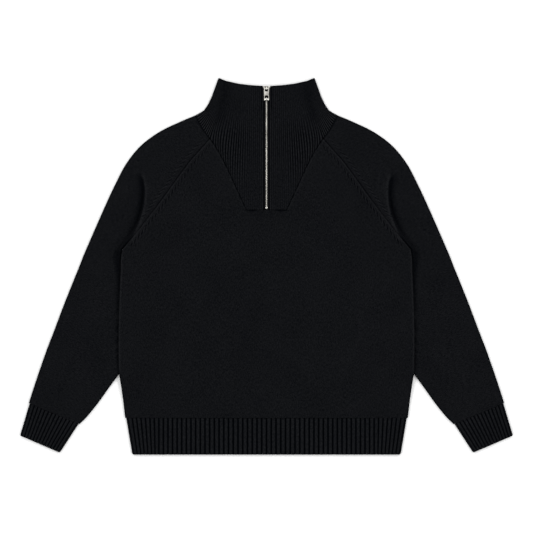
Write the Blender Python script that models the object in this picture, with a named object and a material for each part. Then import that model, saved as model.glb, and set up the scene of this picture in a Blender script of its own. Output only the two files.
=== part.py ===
"""Quarter zip sweatshirt, laid out flat on its back.

Millimetres inside the script, metres in the scene.  +X runs along the spread sleeves, +Y to the collar and
+Z up from the surface that the garment lies on.  The left and right halves are mirror images.
"""
import math

import bpy
import bmesh
from mathutils import Matrix, Vector

MM = 0.001                  # one millimetre in metres

# Cloth
WALL = 2.6                  # plain knit
RIB_WALL = 2.2              # ribbed knit, under the ribs
SEAM_GAP = 0.3              # between two sewn pieces
FLAT = 6.5                  # height of the two layers lying on each other
FOLD = FLAT / 2             # radius of a folded edge
FOLD_STEP = 0.3             # first step in from a folded edge, as a share of its radius
SLEEVE_PUFF = 1.6           # how far the upper layer of a sleeve stands up in the middle
SLEEVE_PUFF_START = 0.15    # share of the sleeve's width, past the crease, where it starts to rise
BODY_PUFF = 1.2             # how far the chest stands up in the middle
BODY_PUFF_START = 20.0      # from the side edge
BODY_PUFF_RUN = 120.0       # over this distance

# Ribs
HEM_RIBS = 60               # across the front
CUFF_RIBS = 13
COLLAR_RIBS = 34            # on each side of the zip
HEM_RIB_RISE = 1.1          # of a ridge over its grooves, on the hem and the cuffs
COLLAR_RIB_RISE = 0.8
HEM_GROOVE = 0.6            # how far the grooves lie below the flat height
COLLAR_GROOVE = 0.4
RIDGE = 0.6                 # share of the pitch that is raised

# Body side edge, from the armpit to the hem.  Below the armpit the body lies over the sleeve: front and back
# are how far each layer is lifted, and tuck is how far the sleeve reaches under the edge.
SIDE_COLUMNS = ("y", "x", "front", "back", "tuck")
SIDE = [
    (33.5, 288.6, 6.5, 1.0, 0.0),
    (20.0, 289.7, 7.0, 4.6, 0.0),
    (8.0, 290.5, 7.0, 7.0, 0.0),
    (-8.0, 291.2, 7.0, 7.0, 8.0),
    (-28.0, 292.3, 7.0, 7.0, 24.0),
    (-56.0, 293.4, 7.0, 7.0, 38.0),
    (-92.0, 294.6, 7.0, 7.0, 42.0),
    (-128.0, 295.5, 7.0, 7.0, 40.0),
    (-165.0, 295.7, 7.0, 7.0, 30.0),
    (-195.0, 295.3, 7.0, 7.0, 16.0),
    (-216.0, 294.4, 7.0, 7.0, 0.0),
    (-242.0, 290.6, 3.2, 3.2, 0.0),
    (-272.0, 286.6, 0.2, 0.2, 0.0),
    (-303.35, 283.0, 0.0, 0.0, 0.0),
]

# Raglan seams, from the neck (row 0) to the armpit (row 7).  Each row holds the front seam, the point of the
# front panel's inner edge level with it, the same two for the back, and the sleeve's outline.
RAGLAN_COLUMNS = ("fx", "fy", "fix", "fiy", "bx", "by", "bix", "biy", "sx", "sy")
RAGLAN = [
    (113.2, 256.2, 113.2, 256.2, 120.0, 289.0, 120.0, 289.0, 141.2, 302.5),
    (131.6, 235.3, 97.0, 231.7, 138.0, 262.0, 60.0, 284.5, 176.0, 287.8),
    (153.0, 211.3, 79.6, 199.3, 158.5, 231.0, 0.0, 283.0, 215.0, 268.6),
    (180.0, 175.2, 60.0, 155.8, 184.5, 192.0, 0.0, 228.0, 252.0, 241.0),
    (209.0, 134.9, 40.0, 112.5, 212.0, 149.5, 0.0, 178.0, 281.0, 205.0),
    (233.8, 101.7, 0.0, 112.5, 236.5, 112.5, 0.0, 128.0, 303.0, 163.5),
    (260.6, 67.3, 0.0, 72.0, 262.2, 74.0, 0.0, 78.0, 324.0, 118.5),
    (288.6, 33.5, 0.0, 33.5, 288.6, 33.5, 0.0, 33.5, 348.0, 64.0),
]
RAGLAN_ROWS = (0.0, 0.12, 1.0, 2.0, 3.0, 3.8, 4.0, 4.3, 4.6, 5.0, 5.5, 6.0, 6.5, 7.0)

# Armpit crease, by rows of the table above: how far it lies from the front seam, and how far the cloth on the
# body's side of it is lifted, in the front and in the back layer.
CREASE = [(0.0, 20.0), (2.0, 44.0), (3.8, 58.0), (4.0, 51.0), (4.3, 38.5), (4.6, 28.5), (5.0, 18.6), (5.5, 9.8),
          (6.0, 5.4), (7.0, 3.8)]
FRONT_LIFT = [(0.0, 0.0), (3.8, 0.0), (4.0, 0.9), (4.3, 2.8), (4.6, 4.2), (5.0, 5.4), (5.5, 6.1), (7.0, 6.5)]
BACK_LIFT = [(0.0, 0.0), (5.5, 0.0), (7.0, 1.0)]

# Sleeve below the armpit: its inner edge (i), its outline (s), and the lift left over from the armpit.
TUBE_COLUMNS = ("ix", "iy", "sx", "sy", "front", "back")
TUBE = [
    (289.0, 33.5, 348.0, 64.0, 6.5, 1.0),
    (290.4, 18.0, 356.0, 45.5, 2.4, 0.0),
    (291.2, 6.0, 362.5, 30.5, 0.0, 0.0),
    (283.5, -9.0, 368.5, 16.0, 0.0, 0.0),
    (267.5, -29.0, 375.0, -1.0, 0.0, 0.0),
    (256.0, -56.0, 383.0, -20.5, 0.0, 0.0),
    (252.6, -92.0, 394.5, -49.0, 0.0, 0.0),
    (255.5, -128.0, 406.0, -78.0, 0.0, 0.0),
    (265.7, -165.0, 418.0, -110.0, 0.0, 0.0),
    (279.8, -195.0, 429.2, -139.5, 0.0, 0.0),
    (295.6, -216.5, 438.3, -163.0, 0.0, 0.0),
    (315.5, -243.5, 449.2, -193.5, 0.0, 0.0),
    (340.0, -277.5, 461.5, -229.5, 0.0, 0.0),
    (361.0, -303.0, 471.5, -260.0, 0.0, 0.0),
    (374.4, -315.9, 475.7, -273.5, 0.0, 0.0),
]

# Neck and collar
NECK_GAP = 0.4              # between the collar and what it is sewn to
NECK_BOW = 2.6              # how far the sleeve's neck edge bows outward
SHOULDER = (141.2, 302.5)   # where the collar's folded side meets the sleeve
ZIP_EDGE = 6.2              # from the centre line to the collar's edge beside the zip
COLLAR_TOP = [(6.2, 360.6), (33.0, 362.5), (57.0, 365.5), (81.0, 370.9), (96.0, 377.0)]
COLLAR_SIDE = [(96.0, 377.0), (100.6, 364.5), (109.2, 340.5), (116.6, 324.5), (124.8, 312.5), (132.0, 307.6),
               (141.2, 302.8)]
RIBS_ON_INSERT = 8.0        # ribs that end on the insert's bottom edge
RIBS_TO_RAGLAN = 23.0       # ribs that end before the raglan seam
SIDE_RIBS = 5.0             # ribs that draw close to the folded side
BACK_TOP_DROP = 3.0         # the back of the collar is this much lower

# By rib: its share of the way along the top edge, its slant there, the angle at which it leaves the neck seam,
# and how far up that angle draws it.
TOP_SHARE = [(0, 0.0), (4, 0.175), (8, 0.34), (12, 0.475), (18, 0.64), (23, 0.765), (34, 1.0)]
TOP_SLANT = [(0, 0.0), (8, 0.0), (20, 7.0), (34, 20.0)]
SEAM_ANGLE = [(0, 90), (8, 90), (12, 94), (16, 99), (19, 104), (20.5, 102), (22, 90), (23, 76), (24, 69), (26, 60),
              (29, 49), (32, 34), (34, 14)]
SEAM_REACH = [(0, 60), (8, 40), (16, 50), (20, 45), (22, 36), (24, 30), (26, 28), (29, 26), (32, 22), (34, 18)]
TOP_REACH = 0.35            # how far down a rib keeps its slant, as a share of its length
BACK_REACH = 14.0           # how far up the seam's angle draws a rib of the back

# Hem and cuffs
HEM = ((280.8, -303.65), (268.6, -376.9))       # right end of the top edge and of the bottom edge
CUFF = ((376.2, -315.5), (474.2, -274.5), (413.5, -373.0), (493.3, -338.7))     # top edge, then bottom edge
HEM_PITCH = (9.6, 8.8)      # of the ribs in the middle and at the sides
CUFF_PITCH = (7.5, 7.3)
HEM_UPRIGHT = 0.78          # middle share of the hem's ribs that run straight down; the rest lean with the side
HEM_CORNER = 4.0            # height of the rounding at the bottom corners
CUFF_CORNER = 2.5
CORNER_IN = 0.7             # how far in the rounding goes, as a share of its height
SIDE_ARC = ((0.7, 1.65), (1.0, 1.0), (0.7, 0.29))   # folded side, out and up in fold radii, from above to below

# Zip
TAPE_BASE = 2.95
TAPE_THICKNESS = 0.75
TAPE_REACH = 12.0           # from the centre line, under the collar
CHAIN_WIDTH = 4.6
CHAIN_BASE = 3.3
CHAIN_TOP = 5.9
ZIP_TOP = 360.4
ZIP_FOOT = 115.1
STOP_LENGTH = 3.4
SLIDER_LENGTH = 13.4
SLIDER_WINGS = 15.0
SLIDER_WIDTH = 10.2
SLIDER_SHOULDER = 4.6       # from its top to where the wings end
SLIDER_CORNER = 1.5
SLIDER_PLATE = (7.25, 8.5)  # its upper plate, clear of the collar's ribs
OVERLAP = 0.4               # of two solids that are made one
TAB_AXIS = (355.5, 10.1)    # the pull tab's hinge, in Y and Z
TAB_LENGTH = 25.4
TAB_WIDTH = 10.2
TAB_THICKNESS = 1.1
TAB_END = 1.0               # from the hinge to the tab's upper end
TAB_CORNER = 1.0
WINDOW_CORNER = 0.8
TAB_EYE = (5.3, 354.5, 350.1)       # width, upper and lower edge
TAB_WINDOW = (6.5, 340.7, 336.0)
CROWN_WIDTH = 2.6
CROWN_HALF = 2.7            # along the zip, to both sides of the hinge
CROWN_RISE = 2.2            # over the hinge
EYE_HALF = 1.5              # the crown's eye, along the zip
EYE_RISE = 1.4

KNIT = ("black_knit", (0.0065, 0.0070, 0.0080), 0.92, 0.0)
RIB = ("black_rib", (0.0050, 0.0055, 0.0062), 0.90, 0.0)
TAPE = ("black_tape", (0.0055, 0.0055, 0.0060), 0.85, 0.0)
METAL = ("silver_metal", (0.66, 0.62, 0.56), 0.28, 1.0)


# ---------------------------------------------------------------- reading the tables

def column(table, names, name, row):
    """Value of a named column at a row position, straight between rows."""
    index = names.index(name)
    low = min(int(row), len(table) - 2)
    share = row - low
    return table[low][index] * (1 - share) + table[low + 1][index] * share


def curve(table, names, name, row):
    """Value of a named column at a row position, on a smooth curve through the rows."""
    index = names.index(name)
    last = len(table) - 1
    low = min(int(row), last - 1)
    s = row - low
    b, c = table[low][index], table[low + 1][index]
    a = table[low - 1][index] if low > 0 else 2 * b - c
    d = table[low + 2][index] if low + 2 <= last else 2 * c - b
    return 0.5 * (2 * b + (c - a) * s + (2 * a - 5 * b + 4 * c - d) * s ** 2 + (3 * b - a - 3 * c + d) * s ** 3)


def place(table, names, x_name, y_name, row, smooth=True):
    value = curve if smooth else column
    return Vector((value(table, names, x_name, row), value(table, names, y_name, row)))


def along(points, share):
    """Point at a share of a polyline's length."""
    points = [Vector(p) for p in points]
    lengths = [(b - a).length for a, b in zip(points, points[1:])]
    left = share * sum(lengths)
    for start, end, length in zip(points, points[1:], lengths):
        if left <= length or end is points[-1]:
            return start.lerp(end, min(left / length, 1.0))
        left -= length


def beside(points, distance):
    """The polyline moved sideways, to the left of its direction."""
    moved = []
    for i, point in enumerate(points):
        before, after = points[max(i - 1, 0)], points[min(i + 1, len(points) - 1)]
        direction = (after - before).normalized()
        moved.append(point + distance * Vector((-direction.y, direction.x)))
    return moved


def read(table, key):
    """Value beside a key in a table of pairs, straight between rows."""
    for (low, near), (high, far) in zip(table, table[1:]):
        if key <= high:
            return near + (far - near) * (key - low) / (high - low)
    return table[-1][1]


def ease(share):
    share = max(0.0, min(1.0, share))
    return share * share * (3 - 2 * share)


def bend(distance):
    """Quarter-round profile of a folded edge: 0 at the edge, 1 once past the fold."""
    share = min(distance / FOLD, 1.0)
    return math.sqrt(max(0.0, 1 - (1 - share) ** 2))


def turned(distance, height, centre):
    """Height of a surface near a folded edge, which turns at the centre height."""
    return centre + (height - centre) * bend(distance)


def inside_fold(distance):
    """How far from a folded edge the inner surface lies, by the distance of the outer one."""
    return WALL + (FOLD - WALL) * distance / FOLD


# ---------------------------------------------------------------- walls of cloth

class Cloth:
    """A closed wall between an outer and an inner grid of points."""

    def __init__(self):
        self.points = []
        self.faces = []
        self.numbers = {}

    def number(self, point):
        key = tuple(round(v, 5) + 0.0 for v in point)
        if key not in self.numbers:
            self.numbers[key] = len(self.points)
            self.points.append(key)
        return self.numbers[key]

    def face(self, corners):
        ring = []
        for corner in corners:
            n = self.number(corner)
            if n not in ring:
                ring.append(n)
        if len(ring) > 2:
            self.faces.append(ring)

    def wall(self, outer, inner, anchors=None):
        """Rows of outer points over rows of inner points.

        anchors gives the outer column over each inner column, where the inner grid is the coarser one.
        """
        anchors = anchors or list(range(len(outer[0])))
        for above, below in zip(outer, outer[1:]):
            for j in range(len(above) - 1):
                self.face((above[j], above[j + 1], below[j + 1], below[j]))
        for above, below in zip(inner, inner[1:]):
            for j in range(len(above) - 1):
                self.face((above[j], below[j], below[j + 1], above[j + 1]))
        for row in (0, -1):
            for j, (first, last) in enumerate(zip(anchors, anchors[1:])):
                self.face([outer[row][k] for k in range(first, last + 1)] + [inner[row][j + 1], inner[row][j]])
        for col in (0, -1):
            for r in range(len(outer) - 1):
                if not self.joined(outer, r, col):
                    self.face((outer[r][col], outer[r + 1][col], inner[r + 1][col], inner[r][col]))

    @staticmethod
    def joined(rows, r, col):
        """True where the edge lies on the centre line, or where the row closes on itself."""
        pair = (rows[r], rows[r + 1])
        centre = all(abs(row[col][0]) < 1e-6 for row in pair)
        ring = all((Vector(row[0]) - Vector(row[-1])).length < 1e-4 for row in pair)
        return centre or ring

    def build(self, name, look):
        mesh = bpy.data.meshes.new(name)
        mesh.from_pydata([Vector(p) * MM for p in self.points], [], self.faces)
        return finish(name, mesh, look, soft=True)


def finish(name, mesh, look, soft=False):
    """Turns the faces outward and puts the mesh in the scene with its material."""
    bm = bmesh.new()
    bm.from_mesh(mesh)
    bmesh.ops.recalc_face_normals(bm, faces=bm.faces)
    if bm.calc_volume(signed=True) < 0:
        bmesh.ops.reverse_faces(bm, faces=bm.faces)
    bm.to_mesh(mesh)
    bm.free()
    if soft:
        mesh.shade_smooth()
        mesh.set_sharp_from_angle(angle=math.radians(35))
    mesh.materials.append(material(*look))
    obj = bpy.data.objects.new(name, mesh)
    bpy.context.collection.objects.link(obj)
    return obj


def material(name, colour, roughness, metallic):
    if name in bpy.data.materials:
        return bpy.data.materials[name]
    look = bpy.data.materials.new(name)
    look.use_nodes = True
    shader = look.node_tree.nodes["Principled BSDF"]
    shader.inputs["Base Color"].default_value = (*colour, 1.0)
    shader.inputs["Roughness"].default_value = roughness
    shader.inputs["Metallic"].default_value = metallic
    return look


def mirrored(rows, side):
    """The rows themselves on the right (+1), or flipped across the centre line on the left (-1)."""
    return [[(side * x, y, z) for x, y, z in row] for row in rows]


# ---------------------------------------------------------------- front and back panels

PANEL_SPREAD = (0.0, 0.05, 0.12, 0.2, 0.3, 0.45, 0.7, 1.0)     # from the folded edge to the middle
LIFT_START = 15.0           # past the tucked sleeve, where the body starts to come down
LIFT_RUN = 48.0             # over this distance


def panel_stations():
    """Rows of a half panel from the hem to the neck, for front and back together."""
    stations = []
    for row in range(len(SIDE) - 1, 0, -1):
        edge = place(SIDE, SIDE_COLUMNS, "x", "y", row)
        lifts = [column(SIDE, SIDE_COLUMNS, key, row) for key in ("front", "back", "tuck")]
        centre = Vector((0.0, edge.y))
        stations.append(dict(front=(edge, centre), back=(edge, centre), lifts=lifts, folded=True))
    seams = {}
    for face in ("f", "b"):
        points = [place(RAGLAN, RAGLAN_COLUMNS, face + "x", face + "y", t) for t in RAGLAN_ROWS]
        seams[face] = beside(points, -SEAM_GAP / 2)
    for i in range(len(RAGLAN_ROWS) - 1, 0, -1):
        t = RAGLAN_ROWS[i]
        lifts = [read(FRONT_LIFT, t), read(BACK_LIFT, t), 0.0]
        front = (seams["f"][i], place(RAGLAN, RAGLAN_COLUMNS, "fix", "fiy", t, smooth=False))
        back = (seams["b"][i], place(RAGLAN, RAGLAN_COLUMNS, "bix", "biy", t, smooth=False))
        stations.append(dict(front=front, back=back, lifts=lifts, folded=False))
    return stations


def panel_row(station, face):
    """Outer and inner points of one row of a panel, from its outer edge to its middle."""
    edge, middle = station[face]
    lift_front, lift_back, tuck = station["lifts"]
    length = (middle - edge).length
    toward = (middle - edge) / length
    fold = min(FOLD, length / 4)
    steps = [0.0, FOLD_STEP * fold] + [fold + (length - fold) * share for share in PANEL_SPREAD]
    half_way = (FLAT + lift_front + lift_back) / 2
    down = 1 if face == "front" else -1
    rim = half_way + down * SEAM_GAP / 2
    outer, inner = [], []
    for d in steps:
        across = 1 - ease((d - tuck - LIFT_START) / LIFT_RUN)
        if face == "front":
            level = FLAT + lift_front * across + BODY_PUFF * ease((d - BODY_PUFF_START) / BODY_PUFF_RUN)
        else:
            level = lift_back * across
        under = level - down * WALL
        d_in = d
        if station["folded"]:
            level, under = turned(d, level, rim), turned(d, under, rim)
            d_in = max(d, inside_fold(d))
        outer.append((*(edge + toward * d), level))
        inner.append((*(edge + toward * d_in), under))
    outer[-1] = (*middle, outer[-1][2])
    inner[-1] = (*middle, inner[-1][2])
    return outer, inner


def panel(name, face):
    cloth = Cloth()
    rows = [panel_row(station, face) for station in panel_stations()]
    for side in (1, -1):
        cloth.wall(mirrored([row[0] for row in rows], side), mirrored([row[1] for row in rows], side))
    return cloth.build(name, KNIT)


# ---------------------------------------------------------------- sleeves

FRONT_SPREAD = (0.22, 0.45, 0.7, 1.0)       # from the crease to the sleeve's outline
BACK_SPREAD = (1.0, 0.75, 0.45, 0.2, 0.0)
CREASE_RUN = 5.0                            # width of the step at the armpit crease
CREASE_SPREAD = 6.0                         # how much farther from the edge it ends, below the armpit
CREASE_ROWS = 3                             # over this many rows of the sleeve's table
BACK_RUN = 25.0                             # width over which the lower layer comes down at the armpit


def sleeve_stations():
    stations = []
    fronts = beside([place(RAGLAN, RAGLAN_COLUMNS, "fx", "fy", t) for t in RAGLAN_ROWS], SEAM_GAP / 2)
    backs = beside([place(RAGLAN, RAGLAN_COLUMNS, "bx", "by", t) for t in RAGLAN_ROWS], SEAM_GAP / 2)
    for t, front, back in zip(RAGLAN_ROWS[:-1], fronts, backs):
        outline = place(RAGLAN, RAGLAN_COLUMNS, "sx", "sy", t)
        lifts = [read(FRONT_LIFT, t), read(BACK_LIFT, t)]
        bow = NECK_BOW * max(0.0, 1 - t)
        stations.append((front, back, outline, read(CREASE, t), *lifts, bow, False))
    for row in range(len(TUBE)):
        edge = place(TUBE, TUBE_COLUMNS, "ix", "iy", row)
        outline = place(TUBE, TUBE_COLUMNS, "sx", "sy", row)
        lifts = [column(TUBE, TUBE_COLUMNS, key, row) for key in ("front", "back")]
        reach = CREASE[-1][1] + CREASE_SPREAD * min(row / CREASE_ROWS, 1)
        stations.append((edge, edge, outline, reach, *lifts, 0.0, True))
    return stations


def section_point(start, end, distance, bow):
    """A point on the way from start to end, bowed to the right of it."""
    length = (end - start).length
    share = distance / length
    direction = (end - start) / length
    return start + direction * distance + 4 * share * (1 - share) * bow * Vector((direction.y, -direction.x))


def sleeve_point(station, upper, d):
    """Outer and inner point of a section's upper or lower layer, at a distance from its seam."""
    front, back, outline, crest, lift_front, lift_back, bow, closed = station
    start, bow = (front, bow) if upper else (back, 0.0)
    length = (outline - start).length
    if upper:
        foot = crest + CREASE_RUN
        past = (d - foot) / (length - foot)
        level = FLAT + (lift_front if d <= crest else 0.0)
        if past > 0:
            puff = ease((past - SLEEVE_PUFF_START) / (1 - SLEEVE_PUFF_START))
            level += SLEEVE_PUFF * math.sin(math.pi * puff) ** 2
        under = level - WALL
    else:
        level = lift_back * (1 - ease((d - FOLD) / BACK_RUN))
        under = level + WALL
    d_in = d
    if closed and d < FOLD:
        half_way = (FLAT + lift_front + lift_back) / 2
        level, under = turned(d, level, half_way), turned(d, under, half_way)
        d_in = inside_fold(d)
    rest = length - d
    if rest < FOLD:
        level, under = turned(rest, level, FOLD), turned(rest, under, FOLD)
        d_in = length - inside_fold(rest)
    return (*section_point(start, outline, d, bow), level), (*section_point(start, outline, d_in, bow), under)


def sleeve_row(station):
    """Outer and inner points of one section, from the front seam round the outline to the back seam."""
    front, back, outline, crest = station[:4]
    length = (outline - front).length
    foot = crest + CREASE_RUN
    upper = [0.0, FOLD_STEP * FOLD, FOLD, crest, foot]
    upper += [foot + (length - FOLD - foot) * share for share in FRONT_SPREAD]
    upper += [length - FOLD_STEP * FOLD, length]
    length = (outline - back).length
    lower = [length - FOLD_STEP * FOLD]
    lower += [FOLD + (length - 2 * FOLD) * share for share in BACK_SPREAD]
    lower += [FOLD_STEP * FOLD, 0.0]
    points = [sleeve_point(station, True, d) for d in upper] + [sleeve_point(station, False, d) for d in lower]
    return [outer for outer, inner in points], [inner for outer, inner in points]


def sleeve(name, side):
    cloth = Cloth()
    rows = [sleeve_row(station) for station in sleeve_stations()]
    cloth.wall(mirrored([row[0] for row in rows], side), mirrored([row[1] for row in rows], side))
    return cloth.build(name, KNIT)


# ---------------------------------------------------------------- ribbed tubes: hem and cuffs

RIB_POINTS = ((0.0, 0), (0.5 - RIDGE / 2, 1), (0.5 + RIDGE / 2, 1))      # place in a rib's pitch, and 1 on its ridge
POINTS_PER_RIB = len(RIB_POINTS)
CEILING = 0.8               # wall under a groove, as a share of the rib wall


def rib_profile(ribs, wide, narrow):
    """Places across a ribbed face, from -1 to 1, each with 1 on a ridge and 0 in a groove."""
    half = ribs / 2
    reach = wide * half - (wide - narrow) * half / 3
    places = []
    for i in range(ribs):
        for share, up in RIB_POINTS:
            n = i + share - half
            places.append(((wide * n - (wide - narrow) * n ** 3 / (3 * half ** 2)) / reach, up))
    places.append((1.0, 0))
    return places


def drawn_in(share, wide, half, upright):
    """Place across a tube that narrows from wide to half while the middle share of its ribs stays upright."""
    move = (wide - half) * max(0.0, (abs(share) - upright) / (1 - upright))
    return wide * share - math.copysign(move, share)


def ribbed_tube(name, corners, ribs, pitch, ribs_per_inner, lower_columns, corner, upright):
    """A flattened tube from its top edge to its bottom edge, ribbed on its upper face."""
    start_top, end_top, start_foot, end_foot = (Vector(p) for p in corners)
    drop = (start_foot.lerp(end_foot, 0.5) - start_top.lerp(end_top, 0.5)).length
    groove = FLAT - HEM_GROOVE
    ceiling = groove - CEILING * RIB_WALL
    profile = rib_profile(ribs, *pitch)
    step = POINTS_PER_RIB * ribs_per_inner
    below = [1 - 2 * k / lower_columns for k in range(lower_columns + 1)]
    wide = (end_top - start_top).length / 2 - FOLD
    outer, inner = [], []
    for share, shrink in ((0.0, 0.0), (0.5, 0.0), (1 - corner / drop, 0.0), (1.0, CORNER_IN * corner)):
        start, end = start_top.lerp(start_foot, share), end_top.lerp(end_foot, share)
        middle = start.lerp(end, 0.5)
        direction = (end - start).normalized()
        half = (end - start).length / 2 - shrink - FOLD
        ring = [(drawn_in(s, wide, half, upright), groove + HEM_RIB_RISE * up) for s, up in profile]
        ring += [(half + out * FOLD, up * FOLD) for out, up in SIDE_ARC]
        ring += [(drawn_in(s, wide, half, upright), 0.0) for s in below]
        ring += [(-half - out * FOLD, up * FOLD) for out, up in reversed(SIDE_ARC)]
        hollow = [(drawn_in(s, wide, half, upright), ceiling) for s, up in profile[::step]]
        hollow += [(half + FOLD - RIB_WALL, FOLD)]
        hollow += [(drawn_in(s, wide, half, upright), RIB_WALL) for s in below]
        hollow += [(-half - FOLD + RIB_WALL, FOLD)]
        for rows, points in ((outer, ring), (inner, hollow)):
            rows.append([(*(middle + direction * s), z) for s, z in points + points[:1]])
    last = len(profile) - 1
    side = len(SIDE_ARC) // 2 + 1       # from the last rib to the middle of the folded side
    lower = [last + 2 * side + k for k in range(lower_columns + 1)]
    anchors = list(range(0, last + 1, step)) + [last + side] + lower + [lower[-1] + side, lower[-1] + 2 * side]
    cloth = Cloth()
    cloth.wall(outer, inner, anchors)
    return cloth.build(name, RIB)


def hem():
    (wide, top), (narrow, foot) = HEM
    corners = ((-wide, top), (wide, top), (-narrow, foot), (narrow, foot))
    return ribbed_tube("hem_rib", corners, HEM_RIBS, HEM_PITCH, 2, 14, HEM_CORNER, HEM_UPRIGHT)


def cuff(name, side):
    corners = [(side * x, y) for x, y in CUFF]
    return ribbed_tube(name, corners, CUFF_RIBS, CUFF_PITCH, 1, 4, CUFF_CORNER, 0.0)


# ---------------------------------------------------------------- collar

def neck_line(front):
    """Inner edge of a panel from the centre line to its raglan seam."""
    keys = ("fix", "fiy") if front else ("bix", "biy")
    rows = range(5 if front else 2, -1, -1)
    return [place(RAGLAN, RAGLAN_COLUMNS, *keys, row, smooth=False) for row in rows]


def collar_top(n, front):
    """Upper end of rib n, on the top edge."""
    share = read(TOP_SHARE, n)
    start = COLLAR_TOP[0] if front else (0.0, COLLAR_TOP[0][1])
    point = along([start, *COLLAR_TOP[1:]], share)
    return point if front else point - Vector((0.0, BACK_TOP_DROP * (1 - share ** 4)))


def collar_foot(n, front):
    """Lower end of rib n, on the neck seam."""
    neck = neck_line(front)
    corner = Vector(SHOULDER)
    if front and n <= RIBS_ON_INSERT:
        start = Vector((ZIP_EDGE, neck[0].y))
        return start.lerp(neck[1], n / RIBS_ON_INSERT) + Vector((0.0, NECK_GAP))
    if n == 0:
        return neck[0] + Vector((0.0, NECK_GAP))
    if n <= RIBS_TO_RAGLAN:
        line = neck[1:] if front else neck
        first = RIBS_ON_INSERT if front else 0.0
        share = (n - first) / (RIBS_TO_RAGLAN - first)
        ahead, behind = along(line, min(share + 0.01, 1.0)), along(line, max(share - 0.01, 0.0))
        direction = (ahead - behind).normalized()
        return along(line, share) + NECK_GAP * Vector((-direction.y, direction.x))
    share = (n - RIBS_TO_RAGLAN) / (COLLAR_RIBS - RIBS_TO_RAGLAN)
    chord = corner - neck[-1]
    point = section_point(neck[-1], corner, chord.length * share, NECK_BOW if front else 0.0)
    return point + NECK_GAP * Vector((-chord.y, chord.x)).normalized()


def rib_curve(n, share, front):
    """A point of rib n by its own bend alone, from its upper end (0) to its lower end (1)."""
    top, foot = collar_top(n, front), collar_foot(n, front)
    slant, angle, reach = math.radians(read(TOP_SLANT, n)), math.radians(read(SEAM_ANGLE, n)), read(SEAM_REACH, n)
    if not front:
        angle, reach = min(angle, math.pi / 2), BACK_REACH
    high = top + TOP_REACH * (top - foot).length * Vector((math.sin(slant), -math.cos(slant)))
    low = foot + reach * Vector((-math.cos(angle), math.sin(angle)))
    rest = 1 - share
    return rest ** 3 * top + 3 * rest ** 2 * share * high + 3 * rest * share ** 2 * low + share ** 3 * foot


def collar_point(n, share, front):
    """A point of rib n; the last ribs draw close to the folded side, and rib COLLAR_RIBS is that side."""
    side = along(COLLAR_SIDE, share)
    close = ease((n - COLLAR_RIBS + SIDE_RIBS) / SIDE_RIBS)
    if close == 1:
        return side
    return rib_curve(n, share, front) + close * (side - rib_curve(COLLAR_RIBS, share, front))


def side_of_collar(point):
    """Distance to the folded side, and the direction away from it."""
    best = None
    for start, end in zip(COLLAR_SIDE, COLLAR_SIDE[1:]):
        start, end = Vector(start), Vector(end)
        run = end - start
        share = max(0.0, min(1.0, (point - start).dot(run) / run.length_squared))
        near = start + run * share
        inward = Vector((run.y, -run.x)).normalized()
        distance = (point - near).length
        if best is None or distance < best[0] - 1e-9:
            best = (distance, inward)
    return best


COLLAR_ROWS = (0.0, 0.012, 0.04, 0.2, 0.4, 0.55, 0.7, 0.85, 1.0)
INNER_END = 0.995           # the inner surface stops a little short of the neck seam
RIBS_PER_INNER = 2          # one inner point to this many ribs


def collar_rows(numbers, front, raised):
    """Outer points of one half of the collar, and the inner points at the same places."""
    outer, inner = [], []
    for share in COLLAR_ROWS:
        outer_row, inner_row = [], []
        for n in numbers:
            point = collar_point(n, share, front)
            distance, inward = side_of_collar(point)
            if share == 1.0:
                inward = (neck_line(front)[-1] - Vector(SHOULDER)).normalized()
            half_way = FOLD + (SEAM_GAP / 2 if front else -SEAM_GAP / 2)
            up = raised if n % 1 > 0.1 else 0.0
            level = FLAT - COLLAR_GROOVE + up if front else 0.0
            under = FLAT - RIB_WALL if front else RIB_WALL
            level, under = turned(distance, level, half_way), turned(distance, under, half_way)
            shift = max(0.0, RIB_WALL - distance * RIB_WALL / FOLD)
            behind = collar_point(n, min(share, INNER_END), front)
            outer_row.append((*point, level))
            inner_row.append((*(behind + inward * shift), under))
        outer.append(outer_row)
        inner.append(inner_row)
    return outer, inner


def collar_front(name, side):
    numbers = [i + share for i in range(COLLAR_RIBS) for share, up in RIB_POINTS]
    numbers.append(COLLAR_RIBS)
    step = POINTS_PER_RIB * RIBS_PER_INNER
    outer, inner = collar_rows(numbers, True, COLLAR_RIB_RISE)
    inner = [row[::step] for row in inner]
    cloth = Cloth()
    cloth.wall(mirrored(outer, side), mirrored(inner, side), list(range(0, len(numbers), step)))
    return cloth.build(name, RIB)


def collar_back():
    outer, inner = collar_rows(list(range(0, COLLAR_RIBS + 1, RIBS_PER_INNER)), False, 0.0)
    cloth = Cloth()
    for side in (1, -1):
        cloth.wall(mirrored(outer, side), mirrored(inner, side))
    return cloth.build("collar_back", RIB)


# ---------------------------------------------------------------- zip

def prism(name, outline, low, high, look):
    """An upright prism on an outline."""
    mesh = bpy.data.meshes.new(name)
    bm = bmesh.new()
    corners = [bm.verts.new((x * MM, y * MM, low * MM)) for x, y in outline]
    face = bm.faces.new(corners)
    raised = bmesh.ops.extrude_face_region(bm, geom=[face])["geom"]
    moved = [v for v in raised if isinstance(v, bmesh.types.BMVert)]
    bmesh.ops.translate(bm, verts=moved, vec=(0, 0, (high - low) * MM))
    bm.to_mesh(mesh)
    bm.free()
    return finish(name, mesh, look)


def box_outline(x0, x1, y0, y1, cut=0.0):
    """A rectangle with its corners cut off."""
    return [(x0 + cut, y0), (x1 - cut, y0), (x1, y0 + cut), (x1, y1 - cut), (x1 - cut, y1), (x0 + cut, y1),
            (x0, y1 - cut), (x0, y0 + cut)] if cut else [(x0, y0), (x1, y0), (x1, y1), (x0, y1)]


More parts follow.
